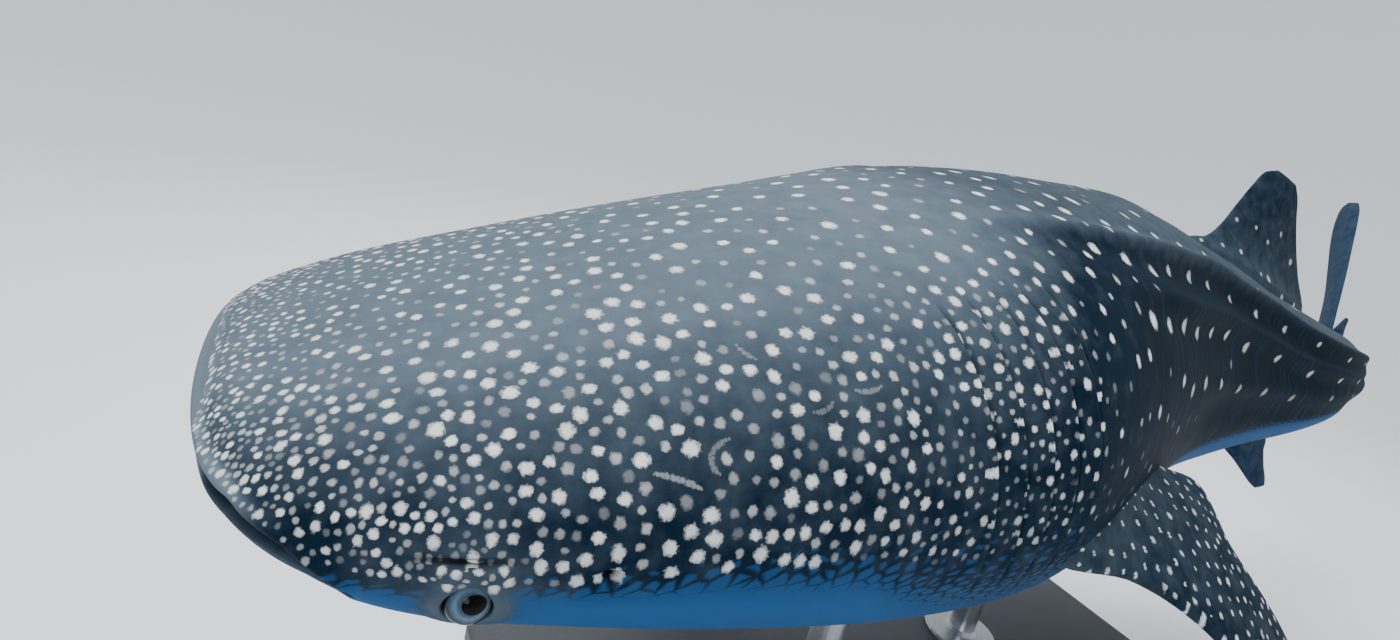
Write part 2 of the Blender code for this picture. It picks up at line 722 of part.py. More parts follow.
def main():
    for old in list(bpy.data.objects):
        bpy.data.objects.remove(old)
    skin = plain_material("shark_skin", (0.07, 0.09, 0.12), 0.45)
    eye = plain_material("eye", (0.01, 0.01, 0.012), 0.08)
    metal = plain_material("stand_metal", (0.35, 0.36, 0.37), 0.35, 1.0)
    board = plain_material("stand_board", (0.05, 0.05, 0.055), 0.5)

    made = list(make_head(skin))
    made += [body_length(*length, skin) for length in LENGTHS[1:]]
    made += [eyeball("eye_left", EYE_ANGLE, 0.0, eye), eyeball("eye_right", 360 - EYE_ANGLE, 0.0, eye)]

    made.append(fin_on_body("first_dorsal_fin", FIRST_DORSAL, 2.72, 0.0, skin, outward=(0.0, 0.24, 1.0)))
    made.append(fin_on_body("second_dorsal_fin", SECOND_DORSAL, 3.80, 0.0, skin, flare=0.008))
    made.append(fin_on_body("anal_fin", ANAL, 3.93, 180.0, skin, flare=0.008))
    out = (0.034, -0.875, -0.482)
    made += paired_fins("pectoral_fin", PECTORAL, 1.08, 101.4, skin, out, droop=1.1, sink=0.01, tilt=0.16)
    out = (0.0, -0.36, -0.93)
    made += paired_fins("pelvic_fin", PELVIC, 2.985, 148.0, skin, out, droop=0.2, flare=0.010)
    made.append(tail_lobe("caudal_fin_upper", UPPER_LOBE, 1, skin))
    made.append(tail_lobe("caudal_fin_lower", LOWER_LOBE, -1, skin))

    made.append(make_base(board))
    names = ("stand_rod_front", "stand_rod_rear")
    made += [make_rod(name, station, metal) for name, station in zip(names, ROD_STATIONS)]
    centre_over_floor(made)


main()
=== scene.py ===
import math

import bpy
import numpy as np
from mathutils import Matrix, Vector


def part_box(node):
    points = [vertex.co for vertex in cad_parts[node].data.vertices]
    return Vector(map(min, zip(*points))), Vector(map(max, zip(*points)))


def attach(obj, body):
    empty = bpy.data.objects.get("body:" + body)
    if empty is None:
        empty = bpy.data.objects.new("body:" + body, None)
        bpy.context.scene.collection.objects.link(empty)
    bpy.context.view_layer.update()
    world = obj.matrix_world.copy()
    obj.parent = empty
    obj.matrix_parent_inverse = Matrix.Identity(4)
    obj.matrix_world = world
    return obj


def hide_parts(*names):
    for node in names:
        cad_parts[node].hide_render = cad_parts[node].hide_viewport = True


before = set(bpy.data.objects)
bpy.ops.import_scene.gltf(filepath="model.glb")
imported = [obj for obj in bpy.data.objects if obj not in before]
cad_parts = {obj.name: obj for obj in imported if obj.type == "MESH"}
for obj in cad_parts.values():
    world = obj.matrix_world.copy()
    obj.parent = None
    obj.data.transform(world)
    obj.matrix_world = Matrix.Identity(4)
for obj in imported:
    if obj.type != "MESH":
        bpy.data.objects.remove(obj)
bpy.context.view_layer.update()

# Angles round the body run from 0 at the middle of the back, through 90 at the left flank,
# to 180 at the belly. Stations are metres from the snout along the body's middle line.

headLow, headHigh = (np.array(corner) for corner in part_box("head"))
snout = np.array([headLow[0], (headLow[1] + headHigh[1]) / 2, 0.0])

body = {
    "axisHeight": 1.08,
    "length": 4.4544,
    "end": 4.7244,
    "power": 2.25,
    # station, half width, height and depth
    "outline": [
        (0.00, 0.000, 0.000, 0.000), (0.03, 0.262, 0.064, 0.032), (0.10, 0.362, 0.099, 0.092),
        (0.22, 0.425, 0.150, 0.145), (0.36, 0.458, 0.202, 0.172), (0.55, 0.484, 0.270, 0.210),
        (0.80, 0.497, 0.351, 0.260), (1.05, 0.498, 0.418, 0.312), (1.30, 0.481, 0.456, 0.347),
        (1.60, 0.453, 0.476, 0.367), (2.00, 0.412, 0.478, 0.366), (2.60, 0.345, 0.405, 0.315),
        (3.10, 0.268, 0.296, 0.240), (3.50, 0.196, 0.220, 0.184), (3.90, 0.136, 0.168, 0.139),
        (4.20, 0.104, 0.138, 0.112), (4.4544, 0.072, 0.116, 0.095), (4.7244, 0.014, 0.045, 0.040),
    ],
    # station and heading in degrees
    "headings": [
        (0.0, 0.0), (0.7, 0.0), (1.3, 14.0), (1.9, 12.0), (2.5, 0.0), (3.1, -7.5), (3.7, 5.5),
        (4.4, 26.5), (5.8, 32.0),
    ],
    # height, length of its rise, stations and the angles there
    "ridges": [
        (0.026, 0.95, (0.85, 1.20, 1.50, 2.45, 3.20, 4.7244), (14.0, 25.0, 34.0, 43.0, 46.0, 50.0)),
        (0.020, 0.50, (1.20, 1.67, 2.20, 2.50, 3.00, 4.7244), (44.0, 54.0, 60.0, 62.5, 67.0, 70.0)),
        (0.012, 0.50, (1.70, 2.40, 3.00, 3.40, 3.80, 4.7244), (78.0, 82.0, 84.0, 86.0, 88.0, 90.0)),
    ],
    "ridgeHalfWidth": 0.026,
    # share of the ridge's height, then place and half width in the ridge's own half widths
    "ridgeHollow": (0.45, 2.2, 1.4),
    # height and starting station of the keel, and the same with its rise for the crest on the back
    "keel": (0.034, 3.50),
    "crest": (0.014, 1.50, 0.50),
}


def smoothStep(x, start, full):
    share = np.clip((x - start) / (full - start), 0.0, 1.0)
    return share * share * (3.0 - 2.0 * share)


def bell(distance, halfWidth):
    return np.exp(-(distance / halfWidth) ** 2)


# A cubic curve through the points, read at x. Each slope is a weighted harmonic mean of the two
# beside it, or level at a peak, so that the curve doesn't swing past the points.
def fairCurve(x, knots, values):
    knots, values = np.asarray(knots, float), np.asarray(values, float)
    spans = np.diff(knots)
    steep = np.diff(values) / spans
    slopes = np.concatenate([steep[:1], np.zeros(len(steep) - 1), steep[-1:]])
    before, after = 2 * spans[1:] + spans[:-1], spans[1:] + 2 * spans[:-1]
    safe = np.where(steep == 0, 1.0, steep)
    mean = (before + after) / (before / safe[:-1] + after / safe[1:])
    slopes[1:-1] = np.where(steep[:-1] * steep[1:] > 0, mean, 0.0)
    i = np.clip(np.searchsorted(knots, x) - 1, 0, len(spans) - 1)
    u = (x - knots[i]) / spans[i]
    start = (1 + 2 * u) * (1 - u) ** 2 * values[i] + u * (1 - u) ** 2 * spans[i] * slopes[i]
    end = u * u * (3 - 2 * u) * values[i + 1] + u * u * (u - 1) * spans[i] * slopes[i + 1]
    return start + end


# The middle line adds up short steps along its heading.
spineStep = 0.02
spineAt = np.arange(0.0, 5.8, spineStep)
spineHeading = np.radians(fairCurve(spineAt, *zip(*body["headings"])))
spineMiddle = (spineHeading[1:] + spineHeading[:-1]) / 2
spineX = np.concatenate([[0.0], np.cumsum(np.cos(spineMiddle) * spineStep)]) + snout[0]
spineY = np.concatenate([[0.0], np.cumsum(np.sin(spineMiddle) * spineStep)]) + snout[1]


def spine(s):
    return tuple(np.interp(s, spineAt, values) for values in (spineX, spineY, spineHeading))


def outline(s):
    stations, *sizes = zip(*body["outline"])
    return tuple(fairCurve(np.sqrt(s), np.sqrt(stations), values) for values in sizes)


def downFromBack(angle):
    return np.abs(np.where(angle > 180, angle - 360, angle))


def ridgeAngle(s, stations, angles):
    return fairCurve(np.clip(s, stations[0], stations[-1]), stations, angles)


# Each ridge is a bell curve across the flank, less a wider and lower one under it. The third swells
# into the keel. The crest is a bell curve over the middle of the back.
def ridgeRelief(s, angle, radius):
    down = downFromBack(angle)
    relief = np.zeros_like(s)
    keelHeight, keelStart = body["keel"]
    keel = smoothStep(s, keelStart, body["length"])
    hollow, hollowAt, hollowHalf = body["ridgeHollow"]
    for number, (height, rise, stations, angles) in enumerate(body["ridges"]):
        tall = height * smoothStep(s, stations[0], stations[0] + rise) * (1 - 0.5 * keel)
        if number == 2:
            tall = tall + keelHeight * keel
        away = np.radians(down - ridgeAngle(s, stations, angles)) * radius / body["ridgeHalfWidth"]
        relief += tall * (bell(away, 1.0) - hollow * bell(away - hollowAt, hollowHalf))
    crestHeight, crestStart, crestRise = body["crest"]
    crest = crestHeight * smoothStep(s, crestStart, crestStart + crestRise)
    relief += crest * bell(np.radians(down) * radius, 2 * body["ridgeHalfWidth"])
    return relief * (1 - smoothStep(s, body["length"] - 0.10, body["end"] - 0.05))


# Top, bottom and fade are angles in degrees, the slant is in metres a degree, the grooves' painted shade
# is given as a strength, and the rest is in metres.
gills = {
    "count": 5, "first": 0.845, "pitch": 0.048, "top": 38.0, "bottom": 102.0, "slant": 0.0008,
    "flap": 0.036, "rise": 0.008, "groove": 0.014, "width": 0.004, "fade": 12.0, "grooveShade": 0.8,
    "leanMiddle": 0.945, "leanReach": 0.12,
}


def gillShift(angle):
    top, bottom = gills["top"], gills["bottom"]
    return gills["slant"] * (np.clip(downFromBack(angle), top, bottom) - (top + bottom) / 2)


# Each slit is a flap that rises by the square of the way to its rear edge, then a groove. The second
# result is the groove alone, from 0 to 1, where the skin gets painted shade.
def gillRelief(s, angle):
    down = downFromBack(angle)
    top, bottom, fade, wide = (gills[key] for key in ("top", "bottom", "fade", "width"))
    reach = smoothStep(down, top, top + fade) * (1 - smoothStep(down, bottom - fade, bottom))
    relief, grooveShade = np.zeros_like(s), np.zeros_like(s)
    for number in range(gills["count"]):
        behind = s - (gills["first"] + number * gills["pitch"]) - gillShift(angle)
        flap = np.where(behind < 0, np.clip(1 + behind / gills["flap"], 0, 1) ** 2, 0.0)
        relief += gills["rise"] * flap - gills["groove"] * bell(behind - wide, wide)
        grooveShade = np.maximum(grooveShade, bell(behind - wide, 0.8 * wide))
    return relief * reach, grooveShade * reach


def signedPower(value, power):
    return np.sign(value) * np.abs(value) ** power


# Section: half width times sin and height times cos, both raised to 2 / power, moved out by the
# relief, on the bent middle line.
def bodyPoint(s, angle):
    s, angle = np.broadcast_arrays(np.asarray(s, float), np.asarray(angle, float))
    width, height, depth = outline(s)
    turn = np.radians(angle)
    tall = np.where(np.cos(turn) > 0, height, depth)
    side = width * signedPower(np.sin(turn), 2 / body["power"])
    up = tall * signedPower(np.cos(turn), 2 / body["power"])
    out = np.stack([np.sin(turn) * (tall + 1e-9), np.cos(turn) * (width + 1e-9)])
    out /= np.linalg.norm(out, axis=0)
    relief = ridgeRelief(s, angle, (width + height) / 2) + gillRelief(s, angle)[0]
    side, up = side + out[0] * relief, up + out[1] * relief
    x, y, heading = spine(s)
    place = [x + np.sin(heading) * side, y - np.cos(heading) * side, body["axisHeight"] + up]
    return np.stack(place, axis=-1)


def unit(vectors):
    return vectors / np.maximum(np.linalg.norm(vectors, axis=-1, keepdims=True), 1e-12)


# Unit vectors along the rows, round the columns and outwards, for a grid closed round its columns.
def gridFrame(points):
    along = unit(np.gradient(points, axis=0))
    around = unit(np.roll(points, -1, axis=1) - np.roll(points, 1, axis=1))
    out = unit(np.cross(around, along))
    middle = points.mean(axis=1, keepdims=True)
    if np.sum(out * (points - middle)) < 0:
        out = -out
    return along, around, out


# Places on the skin, with their unit vectors outwards, backwards and across from differences of
# nearby places.
def placeOnSkin(s, angle):
    s, angle = np.asarray(s, float), np.asarray(angle, float)
    stepBack, stepRound = 0.004, 1.0
    place = bodyPoint(s, angle)
    back = unit(bodyPoint(s + stepBack, angle) - bodyPoint(s - stepBack, angle))
    across = unit(bodyPoint(s, angle + stepRound) - bodyPoint(s, angle - stepRound))
    out = unit(np.cross(across, back))
    x, y, _ = spine(s)
    inside = np.stack([x, y, np.full_like(x, body["axisHeight"])], axis=-1)
    out = out * np.sign(np.sum(out * (place - inside), axis=-1, keepdims=True))
    return place, out, back, np.cross(out, back)


def linear(code):
    values = [int(code[i : i + 2], 16) / 255 for i in (0, 2, 4)]
    return [v / 12.92 if v <= 0.04045 else ((v + 0.055) / 1.055) ** 2.4 for v in values] + [1.0]


# A material, a function that adds a node to it, and one that feeds its shader. A node's links are
# given as {input: (node, output)}.
def newMaterial(name, **settings):
    material = bpy.data.materials.new(name)
    material.use_nodes = True
    tree = material.node_tree
    shader = tree.nodes["Principled BSDF"]
    for key, value in settings.items():
        shader.inputs[key.replace("_", " ")].default_value = value

    def node(kind, links=None, values=None, **data):
        made = tree.nodes.new("ShaderNode" + kind)
        for key, value in data.items():
            setattr(made, key, value)
        for key, value in (values or {}).items():
            made.inputs[key].default_value = value
        for key, (source, output) in (links or {}).items():
            tree.links.new(source.outputs[output], made.inputs[key])
        return made

    def into(socket, source, output):
        tree.links.new(source.outputs[output], shader.inputs[socket])

    return material, node, into


# Matt paint on a resin cast: soft light, no sharp glints, a fine grain and a slightly uneven wall.
def skinMaterial():
    material, node, into = newMaterial(
        "painted_cast_skin", Roughness=0.62, IOR=1.45, Specular_IOR_Level=0.03
    )
    # painted light: the back's grey is painted top light over the flank's dark skin, the belly's dark blue
    # and the deep colour are painted shade, and so is the crease colour in grooves and openings
    colours = {
        "back": "66747f", "flank": "0a1c2a", "shadedBelly": "1f4a76", "deep": "00101a",
        "streak": "152b3c", "spot": "eeefea", "shadedCrease": "020406",
    }
    paints = {key: linear(code) for key, code in colours.items()}
    offset = node("Attribute", attribute_name="spotOffset")
    place = node("Attribute", attribute_name="bodyCoord")
    shade = node("Attribute", attribute_name="skinShade")
    shadedCrease = node("Attribute", attribute_name="shadedCrease")
    parts = node("SeparateXYZ", {"Vector": (shade, "Vector")})
    spotParts = node("SeparateXYZ", {"Vector": (offset, "Vector")})
    placeParts = node("SeparateXYZ", {"Vector": (place, "Vector")})
    coords = node("TexCoord")
    # scale to the metre, detail and roughness: specks of 5 mm, clouds of 4 cm, dents of 33 cm, and the
    # paint's grain, drawn at 2.4 mm so that it shows
    noises = ((210.0, 4.0, 0.65), (24.0, 5.0, 0.6), (3.0, 3.0, 0.5), (420.0, 3.0, 0.5))
    fine, cloud, broad, grain = (
        node(
            "TexNoise", {"Vector": (coords, "Object")},
            {"Scale": scale, "Detail": detail, "Roughness": rough},
        )
        for scale, detail, rough in noises
    )
    # streaks of 14 mm by 20 cm
    streakPlace = node("Mapping", {"Vector": (place, "Vector")}, {"Scale": (70.0, 5.0, 1.0)})
    streak = node(
        "TexNoise", {"Vector": (streakPlace, "Vector")}, {"Scale": 1.0, "Detail": 3.0, "Roughness": 0.6}
    )
    # base: flank to back by the shade's y, which is painted top light, broken up by the clouds
    lift = node("Math", {0: (cloud, "Fac"), 2: (parts, "Y")}, {1: 0.50}, operation="MULTIPLY_ADD")
    lifted = node("Math", {0: (lift, 0)}, {1: 0.25}, operation="SUBTRACT", use_clamp=True)
    painted = node("Mix", {0: (lifted, 0)}, {6: paints["flank"], 7: paints["back"]}, data_type="RGBA")
    # streaks only where the trunk's painted shade is
    streaky = node("MapRange", {"Value": (streak, "Fac")}, {"From Min": 0.52, "From Max": 0.66})
    trunkOnly = node(
        "Math", {0: (streaky, "Result"), 1: (placeParts, "Z")}, operation="MULTIPLY", use_clamp=True
    )
    # the belly's colour, a pale belly painted in shade, comes in as cells of 24 by 16 mm that grow between
    # dark lines
    netPlace = node("Mapping", {"Vector": (place, "Vector")}, {"Scale": (42.0, 62.0, 1.0)})
    net = node(
        "TexVoronoi", {"Vector": (netPlace, "Vector")}, {"Scale": 1.0, "Randomness": 0.8},
        feature="DISTANCE_TO_EDGE", voronoi_dimensions="2D",
    )
    netNoise = node("Math", {0: (fine, "Fac"), 2: (net, "Distance")}, {1: 0.14}, operation="MULTIPLY_ADD")
    netWide = node("Math", {0: (parts, "Z")}, {1: 0.72}, operation="MULTIPLY")
    netEdge = node("Math", {0: (netWide, 0), 1: (netNoise, 0)}, operation="SUBTRACT")
    netMask = node("MapRange", {"Value": (netEdge, 0)}, {"From Min": 0.06, "From Max": -0.13})
    # the cells dim where the net's lines are wide; near the gills this is painted shade
    netDimAndShade = node(
        "MapRange", {"Value": (parts, "Z")},
        {"From Min": -0.35, "From Max": 0.90, "To Min": 1.0, "To Max": 0.30},
    )
    netPale = node("Math", {0: (netMask, "Result"), 1: (netDimAndShade, "Result")}, operation="MULTIPLY")
    # spots: the length of the offset, roughened by the specks
    flat = node("CombineXYZ", {0: (spotParts, "X"), 1: (spotParts, "Y")})
    away = node("VectorMath", {0: (flat, 0)}, operation="LENGTH")
    ragged = node("Math", {0: (fine, "Fac"), 2: (away, "Value")}, {1: 1.6}, operation="MULTIPLY_ADD")
    inside = node("MapRange", {"Value": (ragged, 0)}, {"From Min": 2.04, "From Max": 1.44})
    bright = node(
        "Math", {0: (inside, "Result"), 1: (spotParts, "Z")}, operation="MULTIPLY", use_clamp=True
    )
    # each layer is laid over the ones before it
    layers = [
        (placeParts, "Z", "deep"), (trunkOnly, 0, "streak"), (netPale, 0, "shadedBelly"),
        (parts, "X", "shadedBelly"), (bright, 0, "spot"), (shadedCrease, "Fac", "shadedCrease"),
    ]
    for mask, output, key in layers:
        painted = node("Mix", {0: (mask, output), 6: (painted, 2)}, {7: paints[key]}, data_type="RGBA")
    into("Base Color", painted, 2)
    # bump: the grain over the dents
    low = node("Bump", {"Height": (broad, "Fac")}, {"Strength": 0.25, "Distance": 0.01})
    bump = node(
        "Bump", {"Height": (grain, "Fac"), "Normal": (low, "Normal")},
        {"Strength": 0.25, "Distance": 0.0015},
    )
    into("Normal", bump, "Normal")
    return material


# Polished glass eye: a deep gloss over an iris of grey-blue flecks and a black pupil.
def eyeMaterial():
    material, node, into = newMaterial(
        "eye_gloss", Roughness=0.12, IOR=1.38, Specular_IOR_Level=0.10, Coat_Weight=0.06, Coat_Roughness=0.04
    )
    place = node("Attribute", attribute_name="eyeCoord")
    noise = node("TexNoise", {"Vector": (place, "Vector")}, {"Scale": 7.0, "Detail": 5.0, "Roughness": 0.7})
    # distances across the gaze: from the middle for the iris, from a point behind it for the pupil
    rounds = []
    for shift, scale in (((0.0, 0.0, 0.0), (1.0, 1.0, 0.0)), ((-0.16, 0.0, 0.0), (1.0, 1.25, 0.0))):
        moved = node("Mapping", {"Vector": (place, "Vector")}, {"Location": shift, "Scale": scale})
        rounds.append(node("VectorMath", {0: (moved, "Vector")}, operation="LENGTH"))
    uneven = node("Math", {0: (noise, "Fac"), 2: (rounds[0], "Value")}, {1: 0.22}, operation="MULTIPLY_ADD")
    ramp = node("ValToRGB", {"Fac": (uneven, 0)})
    stops = [
        (0.0, "1c2833"), (0.52, "384b5a"), (0.66, "556b7b"), (0.80, "3e515f"), (0.92, "1e2a33"),
        (1.0, "080c10"),
    ]
    while len(ramp.color_ramp.elements) < len(stops):
        ramp.color_ramp.elements.new(0.5)
    for element, (position, colour) in zip(ramp.color_ramp.elements, stops):
        element.position, element.color = position, linear(colour)
    pupil = node("MapRange", {"Value": (rounds[1], "Value")}, {"From Min": 0.50, "From Max": 0.44})
    mixed = node("Mix", {0: (pupil, "Result"), 6: (ramp, "Color")}, {7: linear("020303")}, data_type="RGBA")
    into("Base Color", mixed, 2)
    return material


# Rolled paint on board: an even dark grey with a faint stipple of about 11 mm.
def boardMaterial():
    material, node, into = newMaterial("painted_board", Roughness=0.55, IOR=1.5)
    coords = node("TexCoord")
    noise = node("TexNoise", {"Vector": (coords, "Object")}, {"Scale": 90.0, "Detail": 3.0})
    greys = {6: linear("33363a"), 7: linear("3d4045")}
    mixed = node("Mix", {0: (noise, "Fac")}, greys, data_type="RGBA")
    into("Base Color", mixed, 2)
    bump = node("Bump", {"Height": (noise, "Fac")}, {"Strength": 0.15, "Distance": 0.001})
    into("Normal", bump, "Normal")
    return material


# Steel brushed round the rods: fine level lines, about 1 mm high, in its gloss.
def steelMaterial():
    material, node, into = newMaterial("brushed_steel", Metallic=1.0, Roughness=0.32)
    coords = node("TexCoord")
    lines = node("Mapping", {"Vector": (coords, "Object")}, {"Scale": (6.0, 6.0, 900.0)})
    noise = node("TexNoise", {"Vector": (lines, "Vector")}, {"Scale": 1.0, "Detail": 4.0})
    greys = {6: linear("a5a8ab"), 7: linear("bfc2c4")}
    mixed = node("Mix", {0: (noise, "Fac")}, greys, data_type="RGBA")
    into("Base Color", mixed, 2)
    rough = node("MapRange", {"Value": (noise, "Fac")}, {"To Min": 0.26, "To Max": 0.40})
    into("Roughness", rough, "Result")
    return material


print("materials")
skinLook, eyeLook, boardLook, steelLook = skinMaterial(), eyeMaterial(), boardMaterial(), steelMaterial()


# For the corners of each face, the offset to the face's nearest spot in units of that spot's radii,
# and its brightness.
def spotFields(corners, spots):
    farOff, batch = 9.0, 4000
    centres = corners.mean(axis=1).astype(np.float32)
    fields = np.full((len(corners), corners.shape[1], 3), farOff)
    fields[..., 2] = 0.0
    if not len(spots["centre"]):
        return fields
    sizes = {"along": "long", "around": "wide", "out": "long"}
    axes = [(spots[key] / spots[size][:, None]).astype(np.float32) for key, size in sizes.items()]
    starts = [np.sum(axis * spots["centre"], axis=1) for axis in axes]
    nearest = np.empty(len(centres), int)
    for first in range(0, len(centres), batch):
        some = centres[first : first + batch]
        distance = sum((some @ axis.T - start) ** 2 for axis, start in zip(axes, starts))
        nearest[first : first + batch] = np.argmin(distance, axis=1)
    for k in range(2):
        axis, start = axes[k][nearest], starts[k][nearest]
        fields[..., k] = np.einsum("fcx,fx->fc", corners, axis) - start[:, None]
    fields[..., 2] = spots["bright"][nearest][:, None]
    return fields


def addField(mesh, name, domain, values):
    kind, key = ("FLOAT", "value") if values.ndim == 1 else ("FLOAT_VECTOR", "vector")
    mesh.attributes.new(name, kind, domain).data.foreach_set(key, values.ravel())


# A mesh in the skin's paint: offsets to the spots on its corners, then shade, the creases' painted shade
# and place on its points.
def skinMesh(name, verts, faceSets, fields, spots, nodes=None, normals=None):
    mesh = bpy.data.meshes.new(name)
    mesh.from_pydata(verts.tolist(), [], sum((faces.tolist() for faces in faceSets), []))
    mesh.shade_smooth()
    offsets = [spotFields(verts[faces], spots).reshape(-1, 3) for faces in faceSets if len(faces)]
    addField(mesh, "spotOffset", "CORNER", np.concatenate(offsets))
    for key, values in zip(("skinShade", "shadedCrease", "bodyCoord"), fields):
        addField(mesh, key, "POINT", values)
    if normals is not None:
        mesh.normals_split_custom_set_from_vertices(normals.tolist())
    mesh.materials.append(skinLook)
    made = bpy.data.objects.new(name, mesh)
    bpy.context.scene.collection.objects.link(made)
    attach(made, "root")
    if nodes:
        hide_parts(*nodes)
    return made


# A grid of points, closed round its columns, as a skin mesh. Each end closes in a point or stays open.
def skinPiece(name, points, nodes, fields, spots, capStart=True, capEnd=True, normals=None):
    rows, columns, _ = points.shape
    verts = points.reshape(-1, 3)
    shade, shadedCrease, place = fields
    fields = [shade.reshape(-1, 3), shadedCrease.reshape(-1), place.reshape(-1, 3)]
    index = np.arange(rows * columns).reshape(rows, columns)
    beside = np.roll(index, -1, axis=1)
    quads = np.stack([index[:-1], beside[:-1], beside[1:], index[1:]], axis=-1).reshape(-1, 4)
    triangles = np.empty((0, 3), int)
    caps = [row for wanted, row in ((capStart, 0), (capEnd, rows - 1)) if wanted]
    for row in caps:
        ring = index[row]
        fan = np.stack([ring, beside[row], np.full(columns, len(verts))], axis=-1)
        triangles = np.vstack([triangles, fan[:, ::-1] if row == 0 else fan])
        verts = np.vstack([verts, points[row].mean(axis=0)])
        fields = [np.concatenate([field, field[ring[:1]]]) for field in fields]
    a, b, c = (verts[quads[:, k]] for k in range(3))
    middle = points.mean(axis=1)[:-1].repeat(columns, axis=0)
    if np.sum(np.cross(b - a, c - a) * (a - middle)) < 0:
        quads, triangles = quads[:, ::-1], triangles[:, ::-1]
    if normals is not None:
        tips = [unit(normals[row].mean(axis=0)) for row in caps]
        normals = np.vstack([normals.reshape(-1, 3), *tips])
    return skinMesh(name, verts, (quads, triangles), fields, spots, nodes, normals)


# Seeded scatter over a grid: places drawn by area over pitch squared are kept while they stay a pitch
# apart. Each has a mood from 0 to 1, for its size.
def scatter(points, frames, pitchOf, sizeOf, rng, tries, kept=None):
    rows, columns, _ = points.shape
    step = np.roll(points, -1, axis=1) - points
    area = np.linalg.norm(np.cross(step, np.gradient(points, axis=0)), axis=-1)
    usual = pitchOf(np.arange(rows * columns), np.full(rows * columns, 0.5))
    chance = np.where(usual > 0, area.ravel() / np.maximum(usual, 0.005) ** 2, 0.0)
    if chance.sum() == 0:
        empty = {key: np.empty((0, 3)) for key in ("centre", "along", "around", "out")}
        return empty | {key: np.empty(0) for key in ("gap", "long", "wide", "bright")}
    pick = rng.choice(rows * columns, size=tries, p=chance / chance.sum())
    mood = rng.random(tries)
    pitch = pitchOf(pick, mood)
    flat = points.reshape(-1, 3)
    count = 0 if kept is None else len(kept["centre"])
    centres, gaps = np.empty((tries + count, 3)), np.empty(tries + count)
    if count:
        centres[:count], gaps[:count] = kept["centre"], kept["gap"]
    chosen = []
    for k in np.nonzero(pitch > 0)[0]:
        away = np.linalg.norm(centres[:count] - flat[pick[k]], axis=1)
        if count and np.any(away < (gaps[:count] + pitch[k]) / 2):
            continue
        centres[count], gaps[count] = flat[pick[k]], pitch[k]
        count += 1
        chosen.append(k)
    picked = pick[chosen]
    sizes, stretch, bright = sizeOf(picked, mood[chosen], rng)
    along, _, out = (field.reshape(-1, 3)[picked] for field in frames)
    return {
        "centre": flat[picked], "gap": pitch[chosen], "along": along, "around": np.cross(out, along),
        "out": out, "long": sizes, "wide": sizes * stretch, "bright": bright,
    }


def together(*groups):
    return {key: np.concatenate([group[key] for group in groups]) for key in groups[0]}


print("body grid")
# the last station of each stretch and its number of rows
rowPlan = {
    "nose": (0.03, 40), "face": (0.30, 90), "cheek": (0.70, 78), "front gills": (0.80, 22),
    "gills": (1.07, 96), "neck": (1.14, 8), "trunk": (4.7244, 236),
}
columns = 400
noseEnd, noseCount = rowPlan["nose"]
stationList = [noseEnd * (np.arange(1, noseCount + 1) / noseCount) ** 2]
for key in list(rowPlan)[1:]:
    end, count = rowPlan[key]
    reached = stationList[-1][-1]
    stationList.append(reached + (end - reached) * np.arange(1, count + 1) / count)
stations = np.concatenate(stationList)
headRows, gillRows = (int(np.argmin(np.abs(stations - rowPlan[key][0]))) + 1 for key in ("cheek", "neck"))

# Columns are closer together round the flank, where the eye, the mouth and the belly's edge are:
# how much closer, the angle where they are closest, and the half width in degrees.
extra, extraAt, extraHalf = 1.3, 94, 16
halfAngles = np.linspace(0, 180, 721)
density = 1 + extra * bell(halfAngles - extraAt, extraHalf)
cumulative = np.concatenate([[0], np.cumsum((density[1:] + density[:-1]) / 2)])
half = np.interp(np.linspace(0, 1, columns // 2 + 1), cumulative / cumulative[-1], halfAngles)
angles = np.concatenate([half, 360 - half[-2:0:-1]])
s, angle = np.broadcast_arrays(stations[:, None], angles[None, :])
# the rows near the slits lean with them
s = s + np.exp(-((s - gills["leanMiddle"]) / gills["leanReach"]) ** 4) * gillShift(angle)
down = downFromBack(angle)
width, height, _ = outline(s)
girth = (width + height) / 2
points = bodyPoint(s, angle)
out = gridFrame(points)[2]

# Mouth: an upper lip that rolls out over a groove in painted shade, and a lower lip set back under it.
mouth = {
    # the mouth's line: heights over the middle line by station, to its corner
    "stations": (0.0, 0.05, 0.096, 0.13, 0.17),
    "levels": (0.016, 0.013, 0.000, -0.022, -0.052),
    "corner": 0.150,
    # height, place over the mouth's line and half width of the upper lip, groove and lower lip
    "bands": [(0.005, 0.012, 0.008), (-0.022, -0.001, 0.0042), (0.003, -0.012, 0.006)],
    # depth that the lower lip stands back, and the height over which it does
    "setBack": (0.006, 0.012),
    # place and half width of the line of painted shade in the groove
    "grooveShade": (-0.0005, 0.0035),
}
level = points[..., 2] - body["axisHeight"] - np.interp(s, mouth["stations"], mouth["levels"])
mouthReach = 1 - smoothStep(s, mouth["corner"] - 0.012, mouth["corner"] + 0.010)
setBack, setBackRun = mouth["setBack"]
mouthRelief = sum(tall * bell(level - at, halfWide) for tall, at, halfWide in mouth["bands"])
mouthRelief = (mouthRelief - setBack * smoothStep(-level, 0.0, setBackRun)) * mouthReach
darkAt, darkHalf = mouth["grooveShade"]
shadedCrease = bell(level - darkAt, darkHalf) * mouthReach

